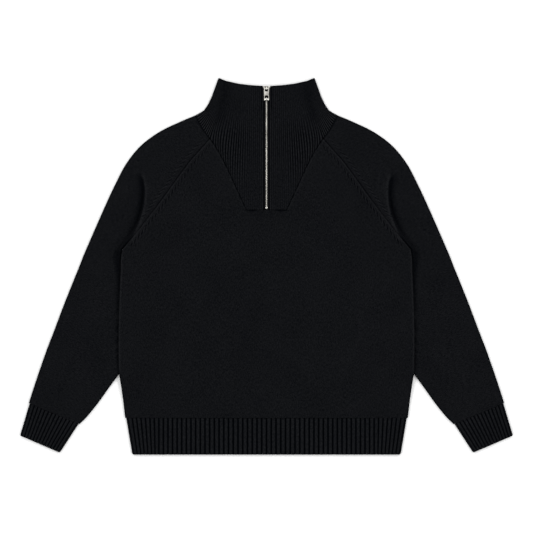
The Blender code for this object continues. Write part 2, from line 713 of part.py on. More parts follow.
def combine(obj, other, operation):
    """Joins another shape to the object ("UNION") or takes it away ("DIFFERENCE")."""
    boolean = obj.modifiers.new(other.name, "BOOLEAN")
    boolean.operation = operation
    boolean.object = other
    other.hide_render = True
    other.display_type = "WIRE"


def zip_tape(name, side):
    inner, outer = sorted((side * (CHAIN_WIDTH / 2 + SEAM_GAP), side * TAPE_REACH))
    return prism(name, box_outline(inner, outer, ZIP_FOOT - 1.6, ZIP_TOP - 1.5), TAPE_BASE,
                 TAPE_BASE + TAPE_THICKNESS, TAPE)


def zip_chain():
    half = CHAIN_WIDTH / 2
    foot = ZIP_FOOT + STOP_LENGTH + SEAM_GAP
    return prism("zip_chain", box_outline(-half, half, foot, ZIP_TOP - SLIDER_LENGTH - SEAM_GAP), CHAIN_BASE,
                 CHAIN_TOP, METAL)


def bottom_stop():
    half = CHAIN_WIDTH / 2
    top = ZIP_FOOT + STOP_LENGTH
    outline = [(-half, top), (-half, ZIP_FOOT + 1.2), (-0.6, ZIP_FOOT), (0.6, ZIP_FOOT), (half, ZIP_FOOT + 1.2),
               (half, top)]
    return prism("zip_bottom_stop", outline, CHAIN_BASE - 0.2, CHAIN_TOP + 0.3, METAL)


def slider():
    wing, half, core = SLIDER_WINGS / 2, SLIDER_WIDTH / 2, CHAIN_WIDTH / 2
    top, foot = ZIP_TOP, ZIP_TOP - SLIDER_LENGTH
    shoulder, corner = top - SLIDER_SHOULDER, SLIDER_CORNER
    right = [(half - corner, foot), (half, foot + corner), (half, shoulder), (wing, top - corner),
             (wing - corner, top)]
    body = prism("zip_slider", right + [(-x, y) for x, y in reversed(right)], *SLIDER_PLATE, METAL)
    under = prism("slider_core", box_outline(-core, core, foot, top - 2 * SEAM_GAP), CHAIN_BASE,
                  SLIDER_PLATE[0] + OVERLAP, METAL)
    combine(body, under, "UNION")
    y, z = TAB_AXIS
    crown = prism("slider_crown", box_outline(-CROWN_WIDTH / 2, CROWN_WIDTH / 2, y - CROWN_HALF, y + CROWN_HALF),
                  SLIDER_PLATE[1] - OVERLAP, z + CROWN_RISE, METAL)
    combine(body, crown, "UNION")
    eye = prism("slider_eye", box_outline(-CROWN_WIDTH, CROWN_WIDTH, y - EYE_HALF, y + EYE_HALF), SLIDER_PLATE[1],
                z + EYE_RISE, METAL)
    combine(body, eye, "DIFFERENCE")
    return body


def pull_tab():
    y, z = TAB_AXIS
    half = TAB_WIDTH / 2
    low, high = z - TAB_THICKNESS / 2, z + TAB_THICKNESS / 2
    end = y + TAB_END
    tab = prism("pull_tab", box_outline(-half, half, end - TAB_LENGTH, end, TAB_CORNER), low, high, METAL)
    for name, (width, upper, lower) in (("tab_eye", TAB_EYE), ("tab_window", TAB_WINDOW)):
        hole = prism(name, box_outline(-width / 2, width / 2, lower, upper, WINDOW_CORNER), low - 1, high + 1, METAL)
        combine(tab, hole, "DIFFERENCE")
    axis = Vector((0.0, y, z)) * MM
    tab.data.transform(Matrix.Translation(-axis))
    tab.location = axis
    return tab


def main():
    for obj in list(bpy.data.objects):
        bpy.data.objects.remove(obj, do_unlink=True)
    panel("front_panel", "front")
    panel("back_panel", "back")
    hem()
    collar_back()
    zip_chain()
    bottom_stop()
    slider()
    pull_tab()
    for word, side in (("right", 1), ("left", -1)):
        sleeve("sleeve_" + word, side)
        cuff("cuff_" + word, side)
        collar_front("collar_" + word, side)
        zip_tape("zip_tape_" + word, side)


main()
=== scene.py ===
"""Quarter zip sweatshirt, laid out flat on its back: knit, ribs, zip, light and camera.

Tables are in millimetres, in the garment's own frame: +X along the spread sleeves, +Y to the collar and +Z up
from the surface that it lies on.  The left and right halves are mirror images.
"""
import math

import bmesh
import bpy
import numpy as np
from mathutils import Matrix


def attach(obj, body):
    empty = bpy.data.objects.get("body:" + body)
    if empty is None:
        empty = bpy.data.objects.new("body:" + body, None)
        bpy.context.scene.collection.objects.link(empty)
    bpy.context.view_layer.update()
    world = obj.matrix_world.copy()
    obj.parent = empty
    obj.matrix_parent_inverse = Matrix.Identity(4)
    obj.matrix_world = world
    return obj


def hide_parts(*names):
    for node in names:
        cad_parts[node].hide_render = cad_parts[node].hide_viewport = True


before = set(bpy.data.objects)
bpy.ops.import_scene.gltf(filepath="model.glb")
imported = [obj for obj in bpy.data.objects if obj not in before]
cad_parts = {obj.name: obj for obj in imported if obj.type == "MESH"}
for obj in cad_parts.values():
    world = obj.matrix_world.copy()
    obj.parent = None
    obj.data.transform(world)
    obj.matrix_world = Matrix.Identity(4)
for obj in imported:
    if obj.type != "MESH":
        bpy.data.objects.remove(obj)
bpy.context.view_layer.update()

MM = 0.001                  # one millimetre in metres
MET = 1e-3                  # points closer than this are one point
JOIN = 2e-6                 # the same where a mesh is closed, in metres
FAR = 99.0                  # stands for a distance at which nothing is near

# Cloth
WALL = 2.0                  # plain knit
FLAT = 6.5                  # height of the two layers lying on each other
FOLD = FLAT / 2             # radius of a folded edge
SEAM_GAP = 0.3              # between two sewn pieces
SEAM_DEPTH = 0.9            # of the groove along a seam
SEAM_WIDTH = 0.9
SLEEVE_PUFF = 1.6           # how far the upper layer of a sleeve stands up in the middle
BODY_PUFF = 1.2             # the same for the chest
HEM_SEAM = -303.35          # where the body meets the hem rib
SHORT_ROW = 110.0           # rows shorter than this have their points drawn together

# Stitches
WALE = 1.8                  # from one column of stitches to the next
COURSE = 1.35               # from one row of stitches to the next
STITCH_DEPTH = 0.32         # of the stitches' relief
LEG_WIDTH = 1.05            # of a leg of yarn, where 1 reaches the next leg
LEG_LENGTH = 1.1            # where 1 reaches the next row
LEG_SLANT = 0.85            # rows that a leg climbs on its way across
LEG_LOW = 0.35              # height of the yarn between two stitches, as a share

# Shaping marks beside the raglan seams
MARKS_START = 10.0          # from the neck to the first mark
MARK_PITCH = 11.0
MARK_SLANT = 1.9            # along the seam, for each millimetre off it
MARK_PLACES = (9.0, 9.2)    # off the seam, on the sleeve and on the body
MARK_WIDTH = 3.1

# Body side edge, from the armpit to the hem: y, x, lift of the front and of the back layer, and how far the
# sleeve reaches under the edge.
SIDE = [
    (33.5, 288.6, 6.5, 1.0, 0.0),
    (20.0, 290.5, 7.0, 4.6, 0.0),
    (8.0, 291.3, 7.0, 7.0, 0.0),
    (-8.0, 291.2, 7.0, 7.0, 8.0),
    (-28.0, 292.3, 7.0, 7.0, 24.0),
    (-56.0, 293.4, 7.0, 7.0, 38.0),
    (-92.0, 294.6, 7.0, 7.0, 42.0),
    (-128.0, 295.5, 7.0, 7.0, 40.0),
    (-165.0, 295.7, 7.0, 7.0, 30.0),
    (-195.0, 295.3, 7.0, 7.0, 16.0),
    (-216.0, 294.4, 7.0, 7.0, 0.0),
    (-242.0, 290.6, 3.2, 3.2, 0.0),
    (-272.0, 286.6, 0.2, 0.2, 0.0),
    (HEM_SEAM, 283.0, 0.0, 0.0, 0.0),
]

# Raglan seams, from the neck to the armpit: front seam, front panel's inner edge level with it, the same two
# for the back, and the sleeve's outline.
RAGLAN = [
    (113.2, 256.2, 113.2, 256.2, 120.0, 289.0, 120.0, 289.0, 141.2, 302.5),
    (131.6, 235.3, 97.0, 231.7, 138.0, 262.0, 60.0, 284.5, 176.0, 287.8),
    (153.0, 211.3, 79.6, 199.3, 158.5, 231.0, 0.0, 283.0, 215.0, 268.6),
    (180.0, 175.2, 60.0, 155.8, 184.5, 192.0, 0.0, 228.0, 252.0, 241.0),
    (209.0, 134.9, 40.0, 112.5, 212.0, 149.5, 0.0, 178.0, 281.0, 205.0),
    (233.8, 101.7, 0.0, 112.5, 236.5, 112.5, 0.0, 128.0, 303.0, 163.5),
    (260.6, 67.3, 0.0, 72.0, 262.2, 74.0, 0.0, 78.0, 324.0, 118.5),
    (288.6, 33.5, 0.0, 33.5, 288.6, 33.5, 0.0, 33.5, 348.0, 64.0),
]
SEAM_ROWS = np.linspace(0, 7, 57)
INSERT_HALF = RAGLAN[4][2]  # half the width of the insert's bottom edge
NECK_END = {True: 5, False: 2}      # row at which the neck of the front and of the back meets the centre line

# Armpit crease, by rows of the raglan table: how far it lies from the front seam, and how far the cloth on
# the body's side of it is lifted, in the front and in the back layer.
CREASE = [(0.0, 20.0), (2.0, 44.0), (3.8, 58.0), (4.0, 51.0), (4.3, 38.5), (4.6, 28.5), (5.0, 18.6),
          (5.5, 9.8), (6.0, 5.4), (7.0, 3.8)]
FRONT_LIFT = [(0.0, 0.0), (3.6, 0.0), (4.0, 0.9), (4.3, 2.8), (4.6, 4.2), (5.0, 5.4), (5.5, 6.1), (7.0, 6.5)]
BACK_LIFT = [(0.0, 0.0), (5.5, 0.0), (7.0, 1.0)]
VALLEY = 3.2                # past the crease, where the sleeve is lowest
# Sharp edge of the crease from the armpit up, along which shade is painted, and the ridge of cloth on its
# body side, which hooks outward at the top and gets a painted highlight.
CREASE_EDGE = [(288.6, 33.5), (270.8, 55.9), (265.0, 67.3), (259.2, 80.1), (254.8, 90.3), (251.0, 100.5),
               (247.8, 113.3), (245.2, 125.9), (244.0, 138.7), (244.0, 151.5), (244.6, 164.3), (247.8, 176.9),
               (250.0, 181.5)]
CREASE_RIDGE = [(267.0, 53.5), (255.6, 78.5), (247.4, 99.5), (241.6, 125.5), (240.6, 152.0), (242.0, 167.0),
                (245.6, 180.0), (249.0, 186.0), (255.0, 189.5), (262.0, 189.0)]
# How far the shadow of the body's edge reaches over the sleeve, by height.
SHADOW_REACH = [(-214, 4.5), (-62, 6.5), (-35, 10.0), (0, 15.0), (14, 19.0), (34, 21.0)]

# Sleeve below the armpit: its inner edge, its outline, and the lift left over from the armpit.
TUBE = [
    (289.0, 33.5, 348.0, 64.0, 6.5, 1.0),
    (289.9, 18.0, 356.0, 45.5, 2.4, 0.0),
    (290.4, 6.0, 362.5, 30.5, 0.0, 0.0),
    (283.5, -9.0, 368.5, 16.0, 0.0, 0.0),
    (267.5, -29.0, 375.0, -1.0, 0.0, 0.0),
    (256.0, -56.0, 383.0, -20.5, 0.0, 0.0),
    (252.6, -92.0, 394.5, -49.0, 0.0, 0.0),
    (255.5, -128.0, 406.0, -78.0, 0.0, 0.0),
    (265.7, -165.0, 418.0, -110.0, 0.0, 0.0),
    (279.8, -195.0, 429.2, -139.5, 0.0, 0.0),
    (295.6, -216.5, 438.3, -163.0, 0.0, 0.0),
    (315.5, -243.5, 449.2, -193.5, 0.0, 0.0),
    (340.0, -277.5, 461.5, -229.5, 0.0, 0.0),
    (361.0, -303.0, 471.5, -260.0, 0.0, 0.0),
    (374.4, -315.9, 475.7, -273.5, 0.0, 0.0),
]
TUBE_ROWS = np.linspace(0, 14, 85)
SLEEVE_WAY = np.array((0.43, -0.90))        # the way a sleeve's columns of stitches run
ACROSS_SLEEVE = np.array((0.90, 0.43))

# Neck and collar
NECK_GAP = 0.4              # between the collar and what it is sewn to
NECK_BOW = 2.6              # how far the sleeve's neck edge bows outward
SHOULDER = (141.2, 302.5)   # where the collar's folded side meets the sleeve
ZIP_EDGE = 6.2              # from the centre line to the collar's edge beside the zip
COLLAR_RIBS = 34
COLLAR_PITCH = 4.2
COLLAR_WALES = 2            # columns of stitches to a rib
COLLAR_WALL = 1.9
COLLAR_INSIDE = 4.2         # heights of the inner and outer side of its fronts
COLLAR_HIGH = 6.95
COLLAR_TOP = [(ZIP_EDGE, 360.6), (33.0, 362.5), (57.0, 365.5), (81.0, 370.9), (96.0, 377.0)]
COLLAR_SIDE = [(96.0, 377.0), (100.6, 364.5), (109.2, 340.5), (116.6, 324.5), (124.8, 312.5), (132.0, 307.6),
               (141.2, 302.8)]
SIDE_LENGTH = 96.0          # of the folded side
COLLAR_BAND = [(86.0, 380.0), (82.0, 352.0), (93.0, 298.0)]     # middle of the soft band of painted shade beside it
RIBS_ON_INSERT = 8.0        # ribs that end on the insert's bottom edge
RIBS_TO_RAGLAN = 23.0       # ribs that end before the raglan seam
SHOULDER_RIBS = (21, 25)    # over these the insert's ribs turn into the shoulder's
SIDE_RIBS = 5.0             # ribs that draw close to the folded side
BACK_TOP_DROP = 3.0         # the back of the collar is this much lower
# By rib: its share of the way along the top edge, its slant there, the angle at which it leaves the neck
# seam, and how far up that angle draws it.
TOP_SHARE = [(0, 0), (4, .175), (8, .34), (12, .475), (18, .64), (23, .765), (34, 1)]
TOP_SLANT = [(8, 0), (20, 7), (34, 20)]
SEAM_ANGLE = [(8, 90), (12, 94), (16, 99), (19, 104), (20.5, 102), (22, 90), (23, 76), (24, 69), (26, 60),
              (29, 49), (32, 34), (34, 14)]
SEAM_REACH = [(0, 60), (8, 40), (16, 50), (20, 45), (22, 36), (24, 30), (26, 28), (29, 26), (32, 22),
              (34, 18)]
TOP_REACH = 0.35            # how far down a rib keeps its slant, as a share of its length
BACK_REACH = 14.0           # how far up the seam's angle draws a rib of the back
# How deep the grooves are and how strong their painted shade: by height on the front, and by the distance
# from the shoulder's part of the seam.
DEEP = [(112, .3), (150, .35), (175, .55), (205, .85), (225, 1), (262, 1), (280, .6), (300, .32), (345, .2),
        (380, .15)]
DEEP_SHOULDER = [(0, 1.25), (21, 1.15), (36, .4), (50, .15)]

# Hem and cuffs: ends of the top edge and of the bottom edge, ribs, their pitch in the middle and at the
# sides, the height of the rounding at the bottom corners, and the middle share of the ribs that run straight
# down.
HEM = dict(top=((-280.8, -303.65), (280.8, -303.65)), foot=((-268.6, -376.9), (268.6, -376.9)),
           ribs=60, wide=9.6, narrow=8.8, corner=4.0, upright=0.78)
CUFF = dict(top=((376.2, -315.5), (474.2, -274.5)), foot=((413.5, -373.0), (493.3, -338.7)),
            ribs=13, wide=7.5, narrow=7.3, corner=2.5, upright=0.0)
RIDGE = 0.6                 # share of a rib's pitch that is raised
RIB_SIDE = 0.2              # share of the pitch in which a ridge falls to its groove
TUBE_RIDGE = 0.235          # half width of the part of a ridge without painted shade
SIDE_DARK = 0.85            # painted shade on the tube's folded sides and along its bottom edge
FOOT_DARK = 0.9
TUBE_WALES = 5              # columns of stitches to a rib
RIB_TOP = 7.0
RIB_EDGE = FOLD + 0.9       # height towards which the upper layer sinks at the tube's two edges
RIB_DEPTH = 2.1
RIB_INSIDE = (4.1, 2.0)     # heights of the inner side of the two layers
UNDER_DEPTH = 1.2           # of the grooves on the side that the garment lies on

# Zip
TAPE_BASE = 2.95
TAPE_TOP = 3.7
TAPE_START = 1.7            # from the centre line to the tape, to the end of its cord and to its outer edge
CORD_REACH = 3.1
TAPE_REACH = 12.0
TWILL_PITCH = 0.9
CHAIN_HALF = 1.65
CHAIN_BASE = 3.3
CHAIN_TOP = 5.9
ZIP_TOP = 360.4
ZIP_FOOT = 115.1
STOP_TOP = 118.5
SLIDER_FOOT = 347.0
TOOTH_PITCH = 2.4
PLATE_BASE = 7.25           # of the slider's upper plate
PLATE_TOP = 8.5
CORE_HALF = CHAIN_HALF + 1.6
CORE_TOP = 7.6
CROWN_SPRING = 9.6          # height at which the crown's arch starts
# Right half of the slider's plate, from the top down.
SLIDER_HALF = [(6.2, ZIP_TOP), (7.3, ZIP_TOP - 0.5), (7.2, ZIP_TOP - 1.5), (6.2, ZIP_TOP - 3.2),
               (5.3, ZIP_TOP - 4.8), (5.1, ZIP_TOP - 6.5), (5.1, 349.0), (4.7, 347.8), (3.8, SLIDER_FOOT)]
TAB_Y = 355.5               # the pull tab's hinge
TAB_Z = 10.1
TAB_HALF = 4.9
TAB_LENGTH = 25.4
WAIST = 0.1                 # how much narrower the tab is at its waist, as a share, and where that is
WAIST_Y = 345
# Opening over the black sheet of painted shade, with a short tongue that stands up in the middle of its lower
# edge.
WINDOW = [(-3.7, 336.2), (-3.7, 338.9), (-3.0, 340.7), (-1.5, 341.5), (1.5, 341.5), (3.0, 340.7),
          (3.7, 338.9), (3.7, 336.2), (3.1, 335.6), (0.9, 335.6), (0.5, 337.2), (0.0, 337.7), (-0.5, 337.2),
          (-0.9, 335.6), (-3.1, 335.6)]

# Soft creases and swells, listed one by one: from x, y to x, y, width and rise.  Negative ones are troughs.
FRONT_FOLDS = [
    (215, 40, 120, 90, 16, 0.5),
    (240, -10, 90, -40, 22, -0.45),
    (250, -150, 150, -60, 20, 0.4),
    (-215, 30, -130, 96, 18, 0.45),
    (-245, -30, -110, -52, 20, -0.4),
    (-240, -170, -120, -80, 22, 0.4),
    (60, -280, 95, -150, 24, 0.35),
    (-95, -285, -70, -170, 20, -0.35),
    (0, 95, 0, 20, 30, -0.4),
]
SLEEVE_FOLDS = [
    (305, 60, 352, -60, 13, -0.5),
    (300, 20, 352, -130, 15, 0.5),
    (330, 105, 300, 140, 16, 0.4),
    (372, -70, 395, -190, 17, -0.45),
    (330, -120, 392, -232, 16, 0.4),
    (392, -262, 448, -232, 14, -0.4),
    (205, 255, 262, 205, 18, 0.35),
    (175, 262, 205, 225, 12, -0.3),
]
COLLAR_FOLDS = [
    (82, 376, 95, 292, 8, -1.2),
    (94, 366, 108, 326, 6, 0.6),
    (40, 330, 44, 250, 18, 0.3),
]


# ---------------------------------------------------------------- reading the tables

def smooth(table, rows):
    """A table at any positions between its rows, on a smooth curve through them."""
    table, rows = np.array(table, float), np.asarray(rows, float)
    longer = np.vstack([2 * table[0] - table[1], table, 2 * table[-1] - table[-2]])
    low = np.minimum(rows.astype(int), len(table) - 2)
    s = (rows - low)[:, None]
    a, b, c, d = (longer[low + k] for k in range(4))
    square, cube = 2 * a - 5 * b + 4 * c - d, 3 * b - a - 3 * c + d
    return 0.5 * (2 * b + (c - a) * s + square * s ** 2 + cube * s ** 3)


def straight(table, rows):
    """A table at any positions between its rows, on straight lines between them."""
    table = np.array(table, float)
    return np.stack([np.interp(rows, np.arange(len(table)), column) for column in table.T], 1)


def read(pairs, key):
    """The value that a table of pairs gives at a key, or between its keys."""
    return np.interp(key, *zip(*pairs))


def along(line, share):
    """Points at shares of a line's length."""
    line = np.array(line, float)
    steps = np.linalg.norm(np.diff(line, axis=0), axis=1)
    marks = np.append(0, np.cumsum(steps)) / steps.sum()
    return np.stack([np.interp(share, marks, column) for column in line.T], -1)


def beside(line, distance):
    """The line moved sideways, to the left of its direction."""
    way = np.gradient(line, axis=0)
    way /= np.linalg.norm(way, axis=1, keepdims=True)
    return line + distance * np.stack([-way[:, 1], way[:, 0]], 1)


def near(points, line):
    """How far points are from a line, and how far along it they are."""
    start, run = line[:-1], np.diff(line, axis=0)
    size = np.linalg.norm(run, axis=1)
    gap = points[..., None, :] - start
    share = np.clip((gap * run).sum(-1) / size ** 2, 0, 1)
    distance = np.linalg.norm(gap - share[..., None] * run, axis=-1)
    best = distance.argmin(-1)[..., None]
    reached = np.append(0, np.cumsum(size)[:-1]) + share * size
    return np.take_along_axis(distance, best, -1)[..., 0], np.take_along_axis(reached, best, -1)[..., 0]


def ramp(value, start, end):
    """0 up to the start and 1 from the end on, with a soft run between them."""
    share = np.clip((value - start) / (end - start), 0, 1)
    return share * share * (3 - 2 * share)


def bend(distance):
    """Quarter-round profile of a folded edge: 0 at the edge, 1 once past the fold."""
    return np.sqrt(np.maximum(0, 1 - (1 - np.minimum(distance / FOLD, 1)) ** 2))


def swell(distance, width):
    """A soft rise, 1 at no distance and gone past about twice its width."""
    return np.exp(-(distance / width) ** 2)


def creases(points, table):
    """Height of the listed creases at points on the cloth."""
    total = np.zeros(points.shape[:-1])
    for x0, y0, x1, y1, width, rise in table:
        run = np.array((x1 - x0, y1 - y0), float)
        size = np.linalg.norm(run)
        gap = points - np.array((x0, y0), float)
        share = gap @ run / size ** 2
        off = (gap[..., 0] * run[1] - gap[..., 1] * run[0]) / size
        fade = np.exp(-((share - 0.5) / 0.45) ** 4)         # 1 along the middle and gone at both ends
        total += rise * fade * swell(off, width)
    return total


def rumple(points):
    """Broad unevenness of cloth laid out by hand: three waves, with their heights and lengths."""
    x, y = points[..., 0], points[..., 1]
    return (0.22 * np.sin(x / 41 + 0.6) * np.sin(y / 57 + 1.1) + 0.16 * np.sin((x + 0.6 * y) / 27 + 2.0)
            + 0.12 * np.sin((0.5 * x - y) / 19 + 0.4) * np.sin(x / 71))


def spread(length, first, last, between):
    """Distances along rows of these lengths: close together at both ends and even in the middle."""
    first, last = np.array(first, float), np.array(last, float)
    shrink = np.minimum(1, length / SHORT_ROW)[:, None]
    start, end = first * shrink, length[:, None] - last[::-1] * shrink
    share = np.linspace(0, 1, between + 2)[1:-1]
    return np.concatenate([start, start[:, -1:] + (end[:, :1] - start[:, -1:]) * share, end], 1)


def lift(points, heights):
    """Points in plan with their heights."""
    return np.concatenate([points, heights[..., None]], -1)


# ---------------------------------------------------------------- meshes

class Cloth:
    """Walls of cloth gathered into one mesh, with what the knit has to know at each point.

    knit holds millimetres across and along the columns of stitches, and the painted shade of a hollow, below
    0 the painted highlight of a ridge.  seam holds millimetres along and off the raglan seam, and 1 on a
    sleeve or 0 on the body.
    """

    def __init__(self):
        self.points, self.faces, self.knit, self.seam = [], [], [], []

    def wall(self, outer, inner, knit, seam=None, side=1):
        """Adds a wall between two grids of points, rows by columns.

        Its ends are left open, to be joined, where they meet each other or the centre line.
        """
        count = outer.shape[0] * outer.shape[1]
        number = sum(len(part) for part in self.points) + np.arange(count).reshape(outer.shape[:2])
        flip = np.array((side, 1, 1))
        self.points += [(grid * flip).reshape(-1, 3) for grid in (outer, inner)]
        seam = np.tile((0.0, FAR, 0.0), (count, 1)) if seam is None else seam.reshape(-1, 3)
        self.knit += [(knit * flip).reshape(-1, 3)] * 2
        self.seam += [seam] * 2
        over = np.stack([number[:-1, :-1], number[:-1, 1:], number[1:, 1:], number[1:, :-1]], -1)
        over = over.reshape(-1, 4)
        self.faces += [over, over[:, ::-1] + count]

        def rim(line):
            return np.stack([line[:-1], line[1:], line[1:] + count, line[:-1] + count], 1)

        self.faces += [rim(number[0]), rim(number[-1])]
        ring = np.linalg.norm(outer[:, 0] - outer[:, -1], axis=1) < MET
        for end in (0, -1):
            met = ring | (np.abs(outer[:, end, 0]) < MET)
            self.faces.append(rim(number[:, end])[~(met[:-1] & met[1:])])

    def build(self, name, node, look):
        """Makes the mesh, with its knit and seam, and puts it in the place of its solid."""
        mesh = bpy.data.meshes.new(name)
        faces = [face for part in self.faces for face in part.tolist()]
        mesh.from_pydata((np.concatenate(self.points) * MM).tolist(), [], faces)
        for key, values in (("knit", self.knit), ("seam", self.seam)):
            layer = mesh.attributes.new(key, "FLOAT_VECTOR", "POINT")
            layer.data.foreach_set("vector", np.concatenate(values).astype(np.float32).ravel())
        return dress(name, node, mesh, look, sharp=60)


def dress(name, node, mesh, look, sharp=35, body="garment"):
    """Closes a mesh, turns its faces outward and puts it in the place of its solid."""
    bm = bmesh.new()
    bm.from_mesh(mesh)
    bmesh.ops.remove_doubles(bm, verts=bm.verts, dist=JOIN)
    bmesh.ops.recalc_face_normals(bm, faces=bm.faces)
    if bm.calc_volume(signed=True) < 0:
        bmesh.ops.reverse_faces(bm, faces=bm.faces)
    bm.to_mesh(mesh)
    bm.free()
    mesh.shade_smooth()
    mesh.set_sharp_from_angle(angle=math.radians(sharp))
    mesh.materials.clear()
    mesh.materials.append(look)
    obj = bpy.data.objects.new(name, mesh)
    bpy.context.collection.objects.link(obj)
    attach(obj, body)
    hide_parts(node)
    return obj


# ---------------------------------------------------------------- looks

# Each pair is the darkest and the lightest that a finish gets.
# YARN_DARK is the yarn under full painted shade, a little blue like the shadows
YARN_DARK = (0.0003, 0.0006, 0.0012)
YARN_LIGHT = (0.0102, 0.0107, 0.0120)
TAPE_SHADES = (0.0012, 0.0012, 0.0015), (0.0042, 0.0042, 0.0050)
METAL_SHADES = (0.34, 0.326, 0.294), (0.99, 0.97, 0.90)
# black painted as shade in recesses and under the tab's window
RECESS_SHADE_BLACK = (0.001, 0.001, 0.001)


class Value:
    """A number in a material, which takes Python arithmetic."""

    def __init__(self, look, socket):
        self.look = look
        self.socket = socket

    def __add__(self, other):
        return self.look.maths("ADD", self, other)

    def __sub__(self, other):
        return self.look.maths("SUBTRACT", self, other)

    def __rsub__(self, other):
        return self.look.maths("SUBTRACT", other, self)

    def __mul__(self, other):
        return self.look.maths("MULTIPLY", self, other)

    def __truediv__(self, other):
        return self.look.maths("DIVIDE", self, other)

    def __pow__(self, other):
        return self.look.maths("POWER", self, other)

    def __abs__(self):
        return self.look.maths("ABSOLUTE", self)

    __radd__ = __add__
    __rmul__ = __mul__


class Look:
    """A material and the nodes in it."""

    def __init__(self, name, **settings):
        self.material = bpy.data.materials.new(name)
        self.material.use_nodes = True
        self.tree = self.material.node_tree
        self.shader = self.tree.nodes["Principled BSDF"]
        for socket, value in settings.items():
            self.surface(socket.replace("_", " "), value)

    def feed(self, socket, value):
        """Sets a socket to a constant or links it to a value."""
        if isinstance(value, Value):
            self.tree.links.new(value.socket, socket)
        else:
            socket.default_value = value

    def surface(self, socket, value):
        """Feeds a socket of the shader."""
        self.feed(self.shader.inputs[socket], value)

    def node(self, kind, settings, inputs, out=0):
        """A node of a type, with its settings, then the values or links of its sockets."""
        node = self.tree.nodes.new(kind)
        for key, value in settings.items():
            setattr(node, key, value)
        for key, value in inputs.items():
            self.feed(node.inputs[key], value)
        return Value(self, node.outputs[out])

    def maths(self, operation, *values):
        return self.node("ShaderNodeMath", {"operation": operation}, dict(enumerate(values)))

    def fraction(self, value):
        return self.maths("FRACT", value)

    def step(self, value, low, high):
        """0 below low and 1 above high, with a soft run between them."""
        inputs = {"Value": value, "From Min": low, "From Max": high}
        return self.node("ShaderNodeMapRange", {"interpolation_type": "SMOOTHSTEP"}, inputs)

    def hump(self, value, width):
        """1 where the value is 0, falling to 0 at the width on both sides."""
        return self.maths("MAXIMUM", 1 - (value / width) ** 2, 0.0)

    def number(self, attribute, out="Fac"):
        """The number that a mesh keeps at its points under this name."""
        return self.node("ShaderNodeAttribute", {"attribute_name": attribute}, {}, out)

    def parts(self, vector, count=3):
        """The numbers in a vector."""
        return [self.node("ShaderNodeSeparateXYZ", {}, {0: vector}, out) for out in range(count)]

    def place(self):
        """Where a point is, in metres."""
        return self.node("ShaderNodeTexCoord", {}, {}, "Object")

    def noise(self, scale, detail=2.0, place=None):
        """Cloudy numbers from 0 to 1, so many to a metre unless another place is given."""
        inputs = {"Vector": place or self.place(), "Scale": scale, "Detail": detail}
        return self.node("ShaderNodeTexNoise", {}, inputs, "Fac")

    def blend(self, share, low, high):
        """One colour or the other, by a share from 0 to 1."""
        low, high = (colour if isinstance(colour, Value) else (*colour, 1.0) for colour in (low, high))
        settings = {"data_type": "RGBA", "clamp_factor": True}
        return self.node("ShaderNodeMix", settings, {0: share, 6: low, 7: high}, 2)

    def relief(self, height, depth):
        """Raises the surface by a height from 0 to 1, as deep as this in millimetres."""
        self.surface("Normal", self.node("ShaderNodeBump", {}, {"Height": height, "Distance": depth * MM}))


def stitches(look, across, up):
    """Height of plain knit: two slanting legs of yarn to each column of stitches."""
    side = abs(look.fraction(across / WALE) - 0.5) * 2
    leg = look.hump(side * 2 - 1, LEG_WIDTH)
    turn = look.fraction(up / COURSE - side * LEG_SLANT)
    return leg * (LEG_LOW + (1 - LEG_LOW) * look.hump(turn * 2 - 1, LEG_LENGTH))


def fashioning(look):
    """Marks of the shaping beside the raglan seams: raised stitches on the sleeve and dents on the body."""
    run, off, sleeve = look.parts(look.number("seam", "Vector"))
    spot = (look.fraction((run - off * MARK_SLANT) / MARK_PITCH) - 0.5) * MARK_PITCH
    mark = look.hump(spot, 3.4) - look.hump(abs(spot) - MARK_PITCH / 2, 2.8) * 0.8
    strong = look.step(run, 10.0, 170.0) * 0.3 + 0.7
    slant, dent = (mark * strong * look.hump(off - place, MARK_WIDTH) for place in MARK_PLACES)
    return slant * sleeve, dent * (1 - sleeve)


def knit_look(name, light, streak, shaped=False, gain=1.0):
    """Fine black wool or cotton knit, with painted shade in its hollows and painted highlight on its ridges,
    and a little uneven in colour.

    The streak is the size in millimetres of the yarn's unevenness, across and along the columns of stitches.
    """
    look = Look(name, Roughness=0.95, Specular_IOR_Level=0.0, Sheen_Weight=0.008, Sheen_Roughness=0.5,
                Sheen_Tint=(0.75, 0.8, 0.9, 1.0))
    # painted shade of the mesh's hollows, and below 0 painted highlight of its ridges
    across, up, painted_shade = look.parts(look.number("knit", "Vector"))
    height = stitches(look, across, up)
    place = look.node("ShaderNodeCombineXYZ", {}, {"X": across / streak[0], "Y": up / streak[1]})
    grain = look.noise(430.0) * 0.5 + look.noise(1.0, place=place) * 0.5
    # the stitches' relief painted in as light and shade, with the yarn's random tone
    shade = height * 0.30 + grain * 1.9 + look.noise(14.0) * 0.22 - 0.72
    if shaped:
        slant, dent = fashioning(look)
        # painted highlight on the raised marks and painted shade in the dents
        shade = shade + slant * 0.38 - dent * 0.40
        height = height + slant * 1.6 - dent * 2.4
    # the yarn's tone darkened by painted shade and lightened by painted highlight
    look.surface("Base Color", look.blend(shade * gain * (1 - painted_shade), YARN_DARK, light))
    look.relief(height + grain * 0.5, STITCH_DEPTH)
    return look.material


def tape_look():
    """Woven tape in a fine twill."""
    look = Look("black_tape", Roughness=0.85, Specular_IOR_Level=0.02)
    x, y = look.parts(look.place(), 2)
    twill = look.hump(look.fraction((x + y) / (TWILL_PITCH * MM)) * 2 - 1, 1.0)
    look.surface("Base Color", look.blend(twill, *TAPE_SHADES))
    look.relief(twill, 0.12)
    return look.material


